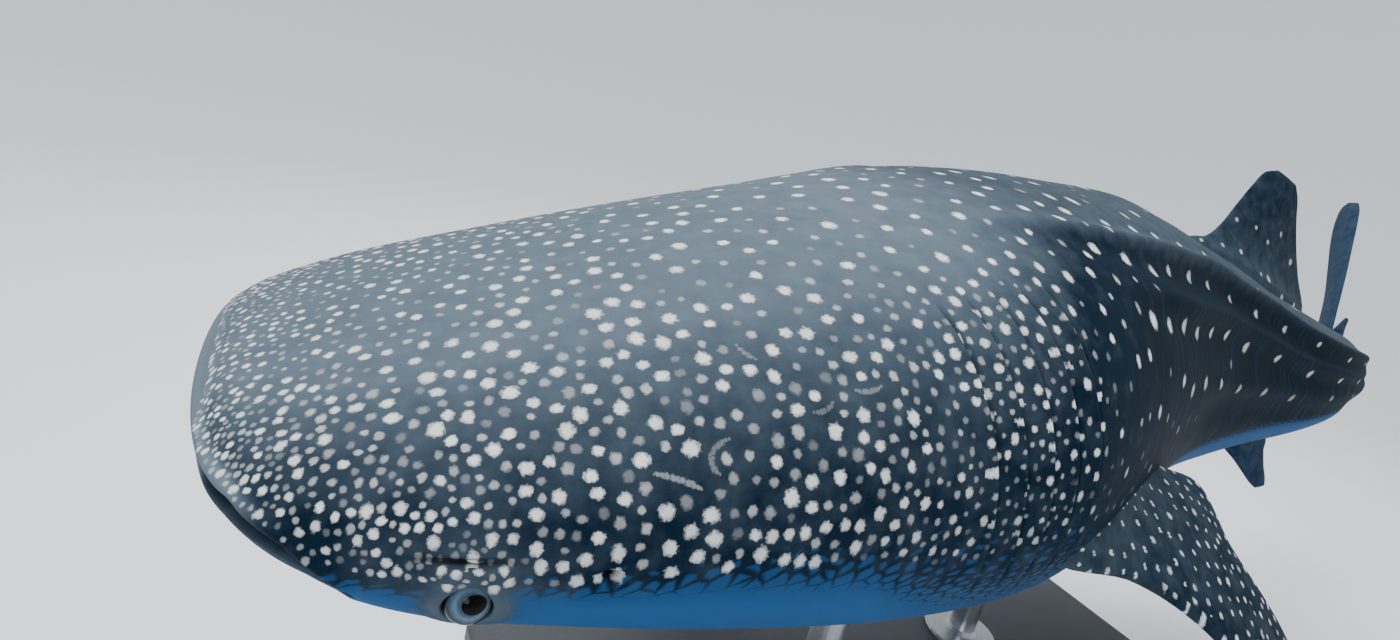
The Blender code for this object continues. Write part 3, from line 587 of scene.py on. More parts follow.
# Eyes: the skin swells round each one and drops away under the ball.
eye = {
    "station": 0.248,
    "angle": 97.0,
    "radius": 0.024,
    "sink": 0.006,
    # a little forward, out and up, for the right eye
    "gaze": (-0.16, 0.88, 0.36),
    # share of the radius that the cornea bulges, and its half width in radians
    "cornea": (0.06, 0.45),
    # height, distance and half width
    "swell": (0.005, 0.034, 0.016),
    # depth, and the distances where the socket's wall starts and ends
    "socket": (0.016, 0.020, 0.028),
    # grey added to the skin round it, and its half width
    "pale": (0.42, 0.058),
}
eyeSides = {"left": eye["angle"], "right": 360 - eye["angle"]}
eyeMiddles = {side: bodyPoint(eye["station"], angleHere) for side, angleHere in eyeSides.items()}
swell, swellAt, swellHalf = eye["swell"]
socket, socketStart, socketEnd = eye["socket"]
eyeRelief = np.zeros_like(s)
for middle in eyeMiddles.values():
    away = np.linalg.norm(points - middle, axis=-1)
    eyeRelief += swell * bell(away - swellAt, swellHalf)
    eyeRelief -= socket * (1 - smoothStep(away, socketStart, socketEnd))

# Brow: a fold over each eye with a crease at its top, each a height and a half width in metres. The crease
# gets painted shade.
brow = {
    "station": 0.240, "angle": 86.5, "reach": 0.045, "darkReach": 0.034, "grooveShade": 0.95,
    "fold": (0.008, 0.014), "shadedCrease": (0.007, 0.005), "creaseAbove": 0.014,
}
browReach = np.exp(-((s - brow["station"]) / brow["reach"]) ** 4)
browAway = np.radians(down - brow["angle"]) * girth
(foldHeight, foldHalf), (creaseDepth, creaseHalf) = brow["fold"], brow["shadedCrease"]
browCrease = bell(browAway + brow["creaseAbove"], creaseHalf)
browRelief = (foldHeight * bell(browAway, foldHalf) - creaseDepth * browCrease) * browReach
browShade = brow["grooveShade"] * browCrease * bell(s - brow["station"], brow["darkReach"])
shadedCrease = np.maximum(np.maximum(shadedCrease, browShade), gills["grooveShade"] * gillRelief(s, angle)[1])

# Openings in the skin: station, angle, depth, half length and half width. Each gets painted shade inside.
hollows = {
    "spiracle": (0.375, 88.0, 0.012, 0.010, 0.0055),
    "nostril": (0.049, 80.5, 0.008, 0.012, 0.004),
}
hollowReach, hollowShade, hollowSpread = 0.05, 0.9, 1.3
detail = mouthRelief + eyeRelief + browRelief
for station, angleHere, deep, halfLong, halfWide in hollows.values():
    for side in (angleHere, 360 - angleHere):
        middle, normal, back, across = placeOnSkin(station, side)
        offset = points - middle
        away = (offset @ back / halfLong) ** 2 + (offset @ across / halfWide) ** 2
        away += (offset @ normal / hollowReach) ** 2
        detail -= deep * np.exp(-away)
        shadedCrease = np.maximum(shadedCrease, hollowShade * np.exp(-hollowSpread * away))
points = points + out * detail[..., None]
along, around, out = gridFrame(points)

# Shade: x is how far the paint goes to the belly's colour, which is painted shade, y how grey the back is,
# which is painted top light, and z how wide the net's dark lines are.
paint = {
    # strength of the painted shade on the trunk's flank, with the stations and angles over which it comes in
    "deep": 0.75,
    "paintedShadeFrom": (1.05, 1.35),
    "paintedShadeBelow": (36, 52),
    # angles where the net starts and ends, by station; near the gills it ends far down, so that its cells
    # there
    #     # are dimmed as painted shade
    "stations": (0.0, 0.10, 0.22, 0.30, 0.50, 0.70, 0.82, 0.96, 1.10, 1.30, 2.00, 3.00, 4.72),
    "netStart": (90, 88, 87, 83, 80, 77, 71, 67, 74, 95, 102, 98, 104),
    "netEnd": (100, 104, 106, 101, 98, 104, 128, 145, 138, 122, 114, 114, 120),
    # grey by the angle from the back on the head, and from the top ridge on the trunk: painted top light,
    #     # with a painted highlight on the ridge's edge and painted shadow under it
    "headPaintedLight": [(0, 20, 32, 42, 52, 65, 75, 88), (0.80, 0.78, 0.70, 0.46, 0.28, 0.14, 0.06, 0.02)],
    "trunkPaintedLight": [(-30, -8, -1, 4, 20, 45), (0.30, 0.30, 0.36, 0.00, -0.20, -0.25)],
    # stations over which the head's greys give way to the trunk's
    "toTrunk": (0.86, 1.26),
    # grey added as a painted highlight at the snout's rim and its lip, grey added at the jaw, and the most
    # grey
    #     # that any place has
    "rim": 0.9,
    "lip": 1.0,
    "jaw": 0.16,
    "most": 1.2,
}
# Place for the patterns: station, the way round from the back, and how strong the trunk's painted shade is.
arc = np.radians(np.where(angle > 180, angle - 360, angle)) * girth
trunkPaintedShade = paint["deep"] * smoothStep(s, *paint["paintedShadeFrom"]) * smoothStep(down, *paint["paintedShadeBelow"])
place = np.stack([s, arc, trunkPaintedShade], axis=-1)
netStart, netEnd = (np.interp(s, paint["stations"], paint[key]) for key in ("netStart", "netEnd"))
netWidth = 1 - 1.5 * np.clip((down - netStart) / (netEnd - netStart), 0, 1)
headPaintedLight = np.interp(down, *paint["headPaintedLight"])
trunkPaintedLight = np.interp(down - ridgeAngle(s, *body["ridges"][0][2:]), *paint["trunkPaintedLight"])
grey = headPaintedLight + (trunkPaintedLight - headPaintedLight) * smoothStep(s, *paint["toTrunk"])
# painted highlights: a band along the snout's front rim and one just above the mouth's line
rim = (1 - smoothStep(s, 0.012, 0.026)) * (1 - smoothStep(down, 86, 92))
lipRim = bell(level - 0.014, 0.009) * (1 - smoothStep(s, 0.045, 0.085))
jaw = (1 - smoothStep(s, 0.14, 0.17)) * smoothStep(-level, 0.0, 0.006) * (down < 115)
eyeAway = np.minimum(*(np.linalg.norm(points - middle, axis=-1) for middle in eyeMiddles.values()))
eyePale, eyePaleHalf = eye["pale"]
grey = np.maximum(grey + paint["rim"] * rim, 0)
grey = grey + paint["lip"] * lipRim + paint["jaw"] * jaw + eyePale * bell(eyeAway, eyePaleHalf)
for solid in (jaw, bell(eyeAway, 0.05)):
    netWidth = np.maximum(netWidth, 1.5 * solid - 0.5)
shade = np.stack([np.zeros_like(s), np.minimum(grey, paint["most"]), netWidth], axis=-1)

print("body spots")
rng = np.random.default_rng(11)
flatS, flatDown, flatLevel = s.ravel(), down.ravel(), level.ravel()
lowestSpot = 90.0
spotEdge = np.minimum(0.6 * netStart + 0.4 * netEnd, lowestSpot).ravel()
# Sizes and gaps in millimetres by station, for each angle from the back. Spots of a mood under the
# faint share are faint, and the brightness of both kinds is drawn between two ends.
spotPlan = {
    "faintShare": 0.46,
    "strong": (0.78, 1.0),
    "faint": (0.12, 0.50),
    "stations": (
        0.03, 0.05, 0.10, 0.16, 0.25, 0.35, 0.45, 0.55, 0.65, 0.75, 0.85, 0.95, 1.05, 1.20, 1.45, 2.0, 3.0,
    ),
    "angles": (10, 45, 70, 86),
    "size": [
        (4.5, 4.9, 5.2, 6.4, 7.0, 7.8, 8.6, 9.4, 9.8, 10.3, 10.8, 11.0, 11.0, 11.0, 12.0, 13.0, 13.0),
        (4.5, 4.9, 6.3, 8.0, 8.2, 8.6, 9.0, 9.2, 9.0, 8.4, 7.7, 7.4, 8.6, 11.0, 14.0, 15.5, 16.0),
        (4.3, 4.5, 4.8, 5.2, 5.6, 7.6, 8.8, 9.0, 8.8, 7.3, 6.5, 6.0, 7.4, 10.0, 14.0, 15.5, 16.0),
        (3.8, 4.0, 4.2, 4.8, 4.6, 7.6, 8.2, 7.4, 7.8, 7.2, 6.5, 5.8, 7.4, 9.5, 12.0, 14.0, 15.0),
    ],
    "gap": [
        (11.4, 12.4, 15.0, 20.5, 24.0, 26.0, 30.0, 36.0, 41.0, 47.0, 50.0, 54.0, 57.0, 60.0, 72.0, 125, 230),
        (11.0, 12.0, 15.4, 21.5, 23.5, 25.0, 27.0, 31.0, 29.5, 27.5, 26.0, 27.0, 37.0, 58.0, 100, 180, 260),
        (11.0, 11.6, 13.2, 14.2, 16.0, 23.0, 28.0, 28.0, 27.0, 24.0, 24.5, 25.0, 33.0, 58.0, 110, 180, 260),
        (12.0, 13.0, 13.5, 13.0, 12.5, 23.0, 25.0, 23.0, 24.0, 24.5, 24.5, 23.0, 33.0, 54.0, 110, 180, 260),
    ],
}


# A table of the plan read at stations and angles from the back, straight between its rows and columns.
def planned(key, station, drop):
    rows = np.array([np.interp(station, spotPlan["stations"], row) for row in spotPlan[key]]) / 1000
    at = np.interp(drop, spotPlan["angles"], np.arange(4))
    low = np.minimum(at.astype(int), 2)
    n = np.arange(len(low))
    return rows[low, n] * (1 - at + low) + rows[low + 1, n] * (at - low)


def pitchOf(pick, mood):
    station, drop = flatS[pick], flatDown[pick]
    # the flank of the head also has small faint spots between the others
    crowd = smoothStep(drop, 26, 44) * (1 - smoothStep(station, 0.95, 1.15))
    pitch = planned("gap", station, drop) * (0.80 - 0.20 * crowd + 0.34 * mood)
    rimmed = (station < 0.016) | ((station < 0.16) & (flatLevel[pick] < 0.014))
    return np.where((drop > spotEdge[pick]) | rimmed | (station > 4.60), -1.0, pitch)


# Spots are dimmer towards the belly, most of all near the gills, and on the trunk: painted shade.
def fade(station, drop):
    behind = smoothStep(station, 0.5, 0.9)
    low = 0.60 * smoothStep(drop, 66, 92) * behind + 0.35 * smoothStep(drop, 60, 96) * (1 - behind)
    return (1 - low) * (1 - 0.25 * smoothStep(station, 1.1, 1.6))


def sizeOf(pick, mood, source):
    station, drop = flatS[pick], flatDown[pick]
    size = planned("size", station, drop) * (0.52 + 0.50 * mood) * source.uniform(0.92, 1.08, len(pick))
    stretch = source.uniform(0.82, 1.22, len(pick)) * np.interp(station, (0.9, 1.3), (1.0, 1.15))
    strong, faint = (source.uniform(*spotPlan[key], len(pick)) for key in ("strong", "faint"))
    return size, stretch, np.where(mood > spotPlan["faintShare"], strong, faint) * fade(station, drop)


def spotsAt(station, angleHere, long, wide, bright, gap):
    centre, normal, back, across = placeOnSkin(station, angleHere)
    gaps = np.full(len(station), gap)
    return {
        "centre": centre, "gap": gaps, "along": back, "around": across, "out": normal,
        "long": long, "wide": wide, "bright": bright,
    }


# Rows of spots: the ridge that each follows, its offset in degrees, its ends and the spots' size.
rowList = [
    (0, -7, 1.30, 4.30, 0.0110), (0, 7.0, 1.25, 4.45, 0.0120), (1, 6.0, 1.32, 4.50, 0.0135),
    (1, 21, 1.50, 4.30, 0.0130),
]
# gaps in metres and shares of the size, by station
rowGaps = [(1.2, 1.5, 2.1, 2.9, 3.7, 4.4), (0.100, 0.155, 0.270, 0.330, 0.280, 0.150)]
rowSizes = [(1.2, 1.8, 2.6, 3.6, 4.5), (0.95, 1.05, 1.00, 0.75, 0.50)]


def rowOfSpots(ridge, offset, start, end, size, source):
    made = []
    for sign in (1, -1):
        row = [start + source.uniform(0, 0.05)]
        while row[-1] < end:
            row.append(row[-1] + np.interp(row[-1], *rowGaps) * source.uniform(0.88, 1.12))
        row = np.array(row)
        jitter = source.uniform(-1.2, 1.2, len(row))
        angleHere = ridgeAngle(row, *body["ridges"][ridge][2:]) + offset + jitter
        long = size * source.uniform(0.80, 1.10, len(row)) * np.interp(row, *rowSizes)
        bright = source.uniform(0.80, 1.0, len(row)) * fade(row, angleHere)
        made.append(spotsAt(row, sign * angleHere % 360, long * 1.35, long * 1.05, bright, 0.06))
    return together(*made)


stroke = {
    "stations": (0.45, 1.0), "angles": (34, 72), "bend": (-70, 70), "length": (0.030, 0.065),
    "step": 0.0016, "size": 0.0034, "taper": 0.01, "bright": (0.12, 0.27), "radius": 0.42,
}


# Faint curved strokes, each a chain of small spots that touch, along a heading that turns evenly.
def strokes(count, source):
    made = []
    degreesPerMetre = 57.3 / stroke["radius"]
    for _ in range(count):
        station, angleHere = source.uniform(*stroke["stations"]), source.uniform(*stroke["angles"])
        sign = source.choice((1, -1))
        heading, bend = source.uniform(0, 6.28), source.uniform(*stroke["bend"])
        steps = np.arange(0, source.uniform(*stroke["length"]), stroke["step"])
        ways = heading + bend * steps
        station = station + np.cumsum(np.cos(ways)) * stroke["step"]
        angleHere = angleHere + np.cumsum(np.sin(ways)) * stroke["step"] * degreesPerMetre
        ends = (0, stroke["taper"], steps[-1] - stroke["taper"], steps[-1])
        size = stroke["size"] * np.interp(steps, ends, (0.6, 1.0, 1.0, 0.6))
        bright = np.full(len(steps), source.uniform(*stroke["bright"]))
        made.append(spotsAt(station, sign * angleHere % 360, size, size, bright, 0.012))
    return together(*made)


lines = together(*[rowOfSpots(*row, rng) for row in rowList], strokes(14, rng))
loose = scatter(points, (along, around, out), pitchOf, sizeOf, rng, 90000, lines)
bodySpots = together(lines, loose)
print("spots", len(lines["centre"]), len(loose["centre"]))


def spotsNear(low, high, margin):
    x = bodySpots["centre"][:, 0]
    keep = (x > low - margin) & (x < high + margin)
    return {key: value[keep] for key, value in bodySpots.items()}


print("body skin")
skins = [
    ("head_skin", slice(0, headRows), ["head", "lower_jaw"]),
    ("gill_skin", slice(headRows - 1, gillRows), ["gill_region"]),
    ("trunk_skin", slice(gillRows - 1, None), ["trunk_front", "trunk_rear", "tail_stock"]),
]
for name, part, nodes in skins:
    spotsHere = spotsNear(points[part][..., 0].min(), points[part][..., 0].max(), 0.08)
    fields = (shade[part], shadedCrease[part], place[part])
    capStart, capEnd = name == "head_skin", name == "trunk_skin"
    skinPiece(name, points[part], nodes, fields, spotsHere, capStart, capEnd, out[part])


print("fins")
# Each fin's plan lists distances out along it, with its leading and trailing edges there measured back
# from the front of its root. Station and angle are where the root starts. Outward is for the left side.
fins = {
    "first_dorsal": {
        "plan": [
            (-0.06, -0.18, 0.69), (0.01, -0.120, 0.68), (0.04, -0.040, 0.655), (0.10, 0.020, 0.590),
            (0.20, 0.080, 0.510), (0.29, 0.135, 0.455), (0.35, 0.180, 0.425), (0.385, 0.250, 0.390),
        ],
        "station": 2.72, "angle": 0.0, "seed": 2, "outward": (0.0, 0.24, 1.0),
    },
    "second_dorsal": {
        "plan": [
            (-0.03, -0.02, 0.23), (0.01, 0.000, 0.23), (0.04, 0.050, 0.215), (0.06, 0.085, 0.212),
            (0.075, 0.120, 0.205),
        ],
        "station": 3.80, "angle": 0.0, "seed": 3, "flare": 0.008,
    },
    "anal": {
        "plan": [
            (-0.03, -0.02, 0.22), (0.01, 0.000, 0.22), (0.06, 0.055, 0.205), (0.12, 0.105, 0.205),
            (0.19, 0.165, 0.215),
        ],
        "station": 3.93, "angle": 180.0, "seed": 4, "flare": 0.008,
    },
    "pectoral": {
        "plan": [
            (-0.12, -0.06, 0.44), (0.00, -0.020, 0.49), (0.10, 0.125, 0.600), (0.22, 0.230, 0.545),
            (0.40, 0.335, 0.590), (0.65, 0.443, 0.690), (0.88, 0.525, 0.715), (0.98, 0.590, 0.705),
        ],
        "station": 1.08, "angle": 101.4, "seed": 6, "outward": (0.034, -0.875, -0.482),
        "droop": 1.1, "sink": 0.01, "tilt": 0.16,
    },
    "pelvic": {
        "plan": [
            (-0.04, -0.03, 0.26), (0.01, 0.000, 0.26), (0.05, 0.045, 0.242), (0.10, 0.095, 0.240),
            (0.15, 0.145, 0.248), (0.175, 0.180, 0.244),
        ],
        "station": 2.985, "angle": 148.0, "seed": 9, "outward": (0.0, -0.36, -0.93),
        "droop": 0.2, "flare": 0.010,
    },
    "upper": {
        "plan": [
            (-0.10, -0.20, 0.30), (0.08, -0.06, 0.34), (0.24, 0.120, 0.460), (0.42, 0.340, 0.700),
            (0.57, 0.550, 0.920), (0.69, 0.720, 1.060), (0.77, 0.860, 1.120), (0.80, 0.950, 1.110),
        ],
        "flare": 0.030, "twist": 8.5,
    },
    "lower": {
        "plan": [
            (-0.08, -0.16, 0.30), (0.04, -0.05, 0.26), (0.18, 0.060, 0.235), (0.34, 0.170, 0.275),
            (0.46, 0.255, 0.320), (0.51, 0.305, 0.335),
        ],
        "flare": 0.030, "twist": -8.5,
    },
}
# Half thickness is 5 times the thickness times the factors of the chord's share, each to its power,
# with an edge in metres added. The tip closes from a share of the span on.
finSection = {
    "thickness": 0.085,
    "factors": (0.2969, -0.126, -0.3516, 0.2843, -0.1036),
    "powers": (0.5, 1, 2, 3, 4),
    "edge": 0.002,
    "closing": (0.86, 0.75),
    "flareReach": 0.035,
}


# Vectors turned about an axis by angles: the sum of their cos, sin and axis parts.
def turned(vectors, axis, turns):
    cosine, sine = np.cos(turns)[:, None], np.sin(turns)[:, None]
    onAxis = axis * np.sum(vectors * axis, axis=1)[:, None]
    return vectors * cosine + np.cross(axis, vectors) * sine + onAxis * (1 - cosine)


# Sections of a thin wing's curve between the plan's leading and trailing edges, along a span that
# bends in an arc. A fillet of sine curves flares the root.
def finGrid(fin, root, backward, outward, rows=90, sides=64):
    spans, leads, trails = (np.array(row) for row in zip(*fin["plan"]))
    share = np.linspace(0, 1, rows)
    span = spans[0] + (spans[-1] - spans[0]) * (1 - (1 - share) ** 1.5)
    lead, trail = fairCurve(span, spans, leads), fairCurve(span, spans, trails)
    turn = np.radians(np.arange(sides) * 360 / sides)
    chordShare = (1 - np.cos(turn)) / 2
    terms = zip(finSection["factors"], finSection["powers"])
    curve = 5 * finSection["thickness"] * sum(factor * chordShare ** power for factor, power in terms)
    closingStart, closingDepth = finSection["closing"]
    chordNow = (trail - lead) * (1 - smoothStep(share, closingStart, 1.0) * closingDepth)
    thick = curve * chordNow[:, None] + finSection["edge"] * np.sin(turn) ** 2
    flare = fin.get("flare", 0.02) * np.exp(-np.maximum(span, 0) / finSection["flareReach"])
    thick += flare[:, None] * np.sin(np.pi * chordShare) ** 0.7
    thick *= np.sign(np.sin(turn)) * (np.abs(np.sin(turn)) > 1e-6)
    backward = unit(np.array(backward, float))
    outward = unit(np.array(outward, float) - backward * np.dot(outward, backward))
    across = np.cross(backward, outward)
    across = across if across[2] > 0 else -across
    droop = fin.get("droop", 0.0)
    reach, fall = span, np.zeros(rows)
    lean = np.maximum(span, 0) * droop
    if droop:
        reach = np.where(lean > 0, np.sin(lean) / droop, span)
        fall = (1 - np.cos(lean)) / droop
    normal = across * np.cos(lean)[:, None] + outward * np.sin(lean)[:, None]
    twist = math.radians(fin.get("twist", 0.0)) * smoothStep(span, 0, spans[-1])
    front = root + outward * reach[:, None] - across * fall[:, None] + backward * lead[:, None]
    chord = turned(np.broadcast_to(backward, (rows, 3)), outward, twist) * (trail - lead)[:, None]
    normal = turned(normal, outward, twist)
    grid = front[:, None] + chord[:, None] * chordShare[None, :, None] + normal[:, None] * thick[..., None]
    return grid, span, chordShare


# A fin's skin with its own spots and shading. Its look gives the grey, the spots' size and pitch, and
# how pale its rim is.
def finPiece(name, node, gridParts, look, seed):
    grid, span, chordShare = gridParts
    fieldSpan = np.broadcast_to(span[:, None], grid.shape[:2])
    fieldChord = np.broadcast_to(chordShare[None], grid.shape[:2])
    source = np.random.default_rng(seed)
    flatSpan = fieldSpan.ravel()
    spotEnd = look.get("spotEnd", span[-1])

    def pitchOf(pick, mood):
        bare = (flatSpan[pick] > spotEnd) | (flatSpan[pick] < 0) | (look["size"] == 0)
        return np.where(bare, -1.0, look["pitch"] * (0.8 + 0.4 * mood))

    def sizeOf(pick, mood, gen):
        size = look["size"] * (0.7 + 0.5 * mood)
        return size, gen.uniform(0.8, 1.25, len(pick)), gen.uniform(*look["bright"], len(pick))

    spots = scatter(grid, gridFrame(grid), pitchOf, sizeOf, source, 9000)
    rootReach, patternScale = 0.12, 0.3
    nearRoot = np.exp(-np.maximum(fieldSpan, 0) / rootReach)
    grey = np.clip(look["grey"] + look.get("rootGrey", 0.0) * nearRoot, 0, paint["most"])
    rim = look.get("rim", 0.0) * smoothStep(fieldChord, 0.95, 0.99)
    shade = np.stack([np.clip(rim + look.get("blue", 0.0), 0, 1), grey, np.ones_like(grey)], axis=-1)
    place = np.stack([fieldSpan, fieldChord, np.zeros_like(grey)], axis=-1) * patternScale
    skinPiece(name, grid, [node], (shade, np.zeros_like(grey), place), spots)


# A fin whose root lies on the skin. sign is -1 on the right side.
def finOnBody(name, node, fin, look, sign=1):
    station, angleHere = fin["station"], sign * fin["angle"] % 360
    chord = fin["plan"][1][2]
    front, rear = bodyPoint(station, angleHere), bodyPoint(station + chord, angleHere)
    backward = unit(rear - front) + np.array([0, 0, fin.get("tilt", 0.0)])
    normal = placeOnSkin(station + chord / 2, angleHere)[1]
    outward = np.array(fin["outward"]) * (1, sign, 1) if "outward" in fin else normal
    root = front - normal * fin.get("sink", 0.0)
    finPiece(name, node, finGrid(fin, root, backward, outward), look, fin["seed"] + sign)


darkFin = {
    "grey": 0.06, "size": 0.010, "pitch": 0.115, "bright": (0.45, 0.75), "rootGrey": 0.20, "spotEnd": 0.20,
}
pectoralLook = {
    "grey": 0.04, "size": 0.0058, "pitch": 0.029, "bright": (0.4, 0.75), "rootGrey": 0.18, "rim": 0.25,
}
plainFin = {"grey": 0.10, "size": 0.0, "pitch": 1.0, "blue": 0.14}
tailFin = {"grey": 0.14, "size": 0.0, "pitch": 1.0, "blue": 0.14}
for key, look in (("first_dorsal", darkFin), ("second_dorsal", plainFin), ("anal", plainFin)):
    finOnBody(key + "_skin", key + "_fin", fins[key], look)
for side, sign in (("left", 1), ("right", -1)):
    for key, look in (("pectoral", pectoralLook), ("pelvic", plainFin)):
        finOnBody(f"{key}_skin_{side}", f"{key}_fin_{side}", fins[key], look, sign)
tailX, tailY, tailHeading = spine(body["length"])
tailRoot = np.array([tailX, tailY, body["axisHeight"]])
tailBack = np.array([math.cos(tailHeading), math.sin(tailHeading), 0.0])
for key, upwards in (("upper", 1), ("lower", -1)):
    gridParts = finGrid(fins[key], tailRoot, tailBack, (0, 0, upwards))
    finPiece("caudal_skin_" + key, "caudal_fin_" + key, gridParts, tailFin, 20)


print("eyes")
eyelid = {
    # a ring on the skin that drops inside to the ball and outside under the skin: distances from the
    # eye's middle and heights over the skin
    "profile": [
        (0.0205, -0.006), (0.0212, -0.001), (0.0220, 0.0035), (0.0232, 0.0062), (0.0250, 0.0070),
        (0.0280, 0.0066), (0.0310, 0.0056), (0.0345, 0.0042), (0.0380, 0.0022), (0.0410, -0.0010),
        (0.0430, -0.0060), (0.0360, -0.0100), (0.0270, -0.0120), (0.0215, -0.0100),
    ],
    "grey": 0.02,
    # distance, half width and strength of the painted shade at its inner edge, where the lid meets the ball
    "edge": (0.0218, 0.0009, 0.5),
}
bulge, bulgeHalf = eye["cornea"]
edgeAt, edgeHalf, edgeShade = eyelid["edge"]
profile = np.array(eyelid["profile"] + eyelid["profile"][:1])
dense = np.linspace(0, len(profile) - 1, 57)[:-1]
away, high = (np.interp(dense, np.arange(len(profile)), profile[:, k]) for k in range(2))
tilt = np.radians(np.linspace(0, 180, 66))[1:-1, None, None]
ballTurn = np.radians(np.arange(96) * 3.75)[None, :, None]
lidTurn = np.radians(np.arange(120) * 3)[:, None]
for side, angleHere in eyeSides.items():
    middle, normal, _, _ = placeOnSkin(eye["station"], angleHere)
    centre = middle - normal * eye["sink"]
    gaze = unit(np.array(eye["gaze"]) * (1, -1 if side == "left" else 1, 1))
    back = unit(np.cross(np.cross(gaze, (1.0, 0.0, 0.0)), gaze))
    across = np.cross(gaze, back)
    # ball: a sphere about the gaze, with the cornea's bell curve added to its radius
    ball = np.cos(tilt) * gaze + np.sin(tilt) * (np.cos(ballTurn) * back + np.sin(ballTurn) * across)
    grid = centre + ball * eye["radius"] * (1 + bulge * bell(tilt, bulgeHalf))
    none = np.zeros_like(grid)
    made = skinPiece("eyeball_" + side, grid, ["eye_" + side], (none, none[..., 0], none), {"centre": []})
    mesh = made.data
    verts = np.empty(3 * len(mesh.vertices), np.float32)
    mesh.vertices.foreach_get("co", verts)
    ways = unit(verts.reshape(-1, 3) - centre)
    addField(mesh, "eyeCoord", "POINT", np.stack([ways @ back, ways @ across, ways @ gaze], axis=-1))
    mesh.materials.clear()
    mesh.materials.append(eyeLook)
    # lid: the profile carried round the eye on the skin
    beside = [bodyPoint(eye["station"], angleHere + step) for step in (1, -1)]
    degree = np.linalg.norm(beside[0] - beside[1]) / 2
    ringS = eye["station"] + away * np.cos(lidTurn)
    ring = bodyPoint(ringS, angleHere + away * np.sin(lidTurn) / degree) + normal * high[None, :, None]
    none = np.zeros_like(ringS)
    grey = none + eyelid["grey"] + eyePale * bell(away, eyePaleHalf)
    fields = (
        np.stack([none, grey, none + 1], axis=-1).reshape(-1, 3),
        (none + edgeShade * bell(away - edgeAt, edgeHalf)).reshape(-1),
        np.stack([ringS, none, none], axis=-1).reshape(-1, 3),
    )
    index = np.arange(ringS.size).reshape(ringS.shape)
    a, b = np.roll(index, -1, axis=0), np.roll(index, -1, axis=1)
    quads = np.stack([index, a, np.roll(a, -1, axis=1), b], axis=-1).reshape(-1, 4)
    top = int(np.argmax(high))
    faceNormal = np.cross(ring[1, top] - ring[0, top], ring[0, top + 1] - ring[0, top])
    if np.dot(faceNormal, normal) < 0:
        quads = quads[:, ::-1]
    spotsHere = spotsNear(middle[0], middle[0], 0.13)
    skinMesh("eyelid_" + side, ring.reshape(-1, 3), (quads,), fields, spotsHere)


print("stand")
for name, look in (("stand_base", boardLook), ("stand_rod_front", steelLook), ("stand_rod_rear", steelLook)):
    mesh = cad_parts[name].data
    mesh.materials.clear()
    mesh.materials.append(look)


print("stage")
studio = {
    # a level disc whose edge sweeps up along a quarter of an ellipse
    "rings": (0.0, 3.0, 6.0, 8.0), "reach": 9.0, "height": 13.0,
    "floor": "eceef0", "glow": "eef2f6", "sky": "dfe6ec", "skyStrength": 0.75,
    # place, target, size, power and colour
    "lights": {
        "overhead": ((-0.5, 1.5, 7.5), (0.0, 0.0, 1.0), 5.0, 650.0, "ffffff"),
        "front": ((-5.0, -4.5, 4.0), (-1.5, 0.0, 1.0), 3.0, 160.0, "eef4ff"),
    },
}
sweep = np.radians(np.linspace(0, 90, 56))[1:]
flatRings = studio["rings"]
radii = np.concatenate([flatRings[1:], flatRings[-1] + studio["reach"] * np.sin(sweep)])[:, None]
levels = np.concatenate([np.zeros(len(flatRings) - 1), studio["height"] * (1 - np.cos(sweep))])[:, None]
turn = np.radians(np.arange(0, 360, 5))
grid = np.stack([radii * np.cos(turn), radii * np.sin(turn), levels + 0 * turn], axis=-1)
index = np.arange(grid[..., 0].size).reshape(grid.shape[:2])
beside = np.roll(index, -1, axis=1)
quads = np.stack([index[1:], beside[1:], beside[:-1], index[:-1]], axis=-1).reshape(-1, 4)
fan = np.stack([np.full(len(turn), index.size), index[0], beside[0]], axis=-1)
mesh = bpy.data.meshes.new("floor")
mesh.from_pydata(grid.reshape(-1, 3).tolist() + [[0.0, 0.0, 0.0]], [], quads.tolist() + fan.tolist())
mesh.shade_smooth()
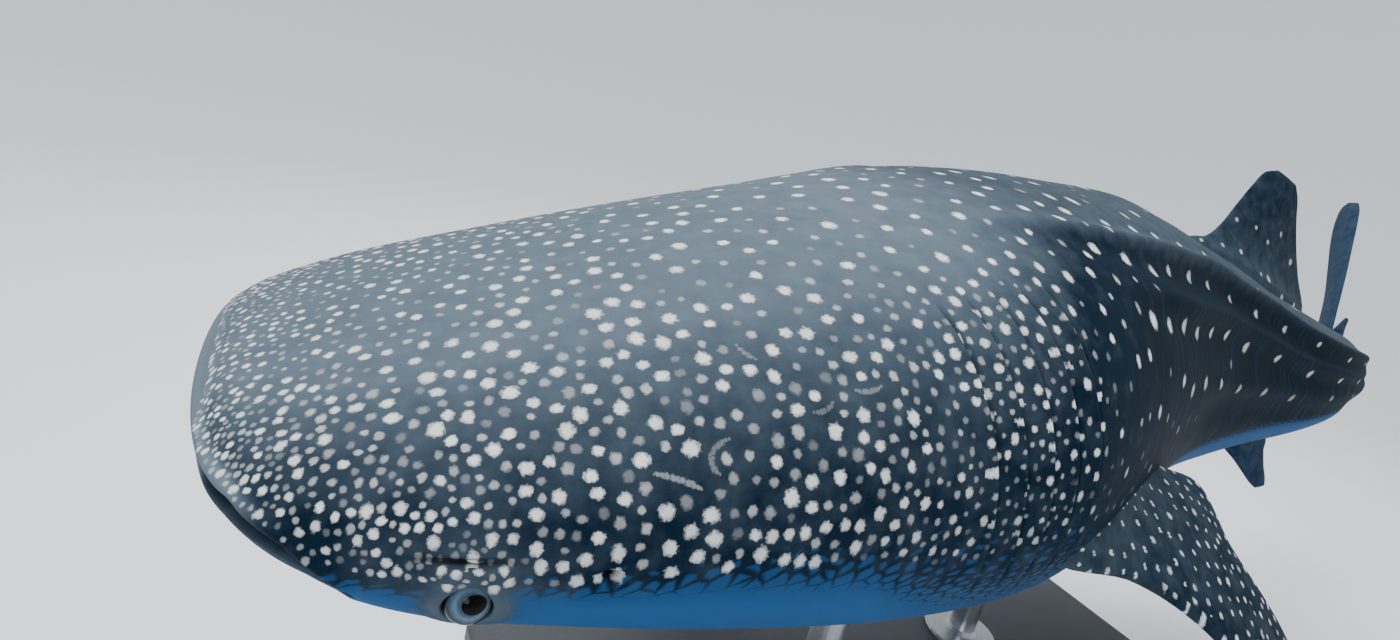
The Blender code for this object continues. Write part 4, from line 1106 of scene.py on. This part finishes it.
floorLook = newMaterial(
    "studio_floor", Base_Color=linear(studio["floor"]), Roughness=0.9,
    Emission_Color=linear(studio["glow"]), Emission_Strength=0.16,
)[0]
mesh.materials.append(floorLook)
floor = bpy.data.objects.new("floor", mesh)
bpy.context.scene.collection.objects.link(floor)

world = bpy.data.worlds.new("studio")
bpy.context.scene.world = world
world.use_nodes = True
sky = world.node_tree.nodes["Background"]
sky.inputs["Color"].default_value = linear(studio["sky"])
sky.inputs["Strength"].default_value = studio["skyStrength"]


def worldMatrix(right, up, back, place):
    matrix = np.eye(4)
    matrix[:3] = np.stack([right, up, back, place], axis=1)
    return matrix.T.tolist()


for name, (place, target, size, power, colour) in studio["lights"].items():
    light = bpy.data.objects.new(name, bpy.data.lights.new(name, "AREA"))
    light.data.shape = "DISK"
    light.data.size = size
    light.data.energy = power
    light.data.color = linear(colour)[:3]
    back = unit(np.array(place) - np.array(target))
    right = unit(np.cross((0.0, 1.0, 0.01), back))
    light.matrix_world = worldMatrix(right, np.cross(back, right), back, place)
    light.visible_camera = False
    bpy.context.scene.collection.objects.link(light)

# The camera's place is from the snout, at the height of the body's middle line, with angles in degrees.
view = {"place": (0.079, -0.983, 0.453), "yaw": 31.7, "pitch": -15.87, "roll": 13.72, "lens": 18.56}
yaw, pitch, roll = (math.radians(view[key]) for key in ("yaw", "pitch", "roll"))
ahead = np.array([math.sin(yaw) * math.cos(pitch), math.cos(yaw) * math.cos(pitch), math.sin(pitch)])
levelWay = np.array([math.cos(yaw), -math.sin(yaw), 0.0])
above = np.cross(levelWay, ahead)
right = math.cos(roll) * levelWay + math.sin(roll) * above
up = -math.sin(roll) * levelWay + math.cos(roll) * above
camera = bpy.data.objects.new("camera", bpy.data.cameras.new("camera"))
camera.data.sensor_width = 36.0
camera.data.lens = view["lens"]
camera.data.clip_start = 0.01
cameraPlace = np.array(view["place"]) + snout + np.array([0.0, 0.0, body["axisHeight"]])
camera.matrix_world = worldMatrix(right, up, -ahead, cameraPlace)
bpy.context.scene.collection.objects.link(camera)
bpy.context.scene.camera = camera
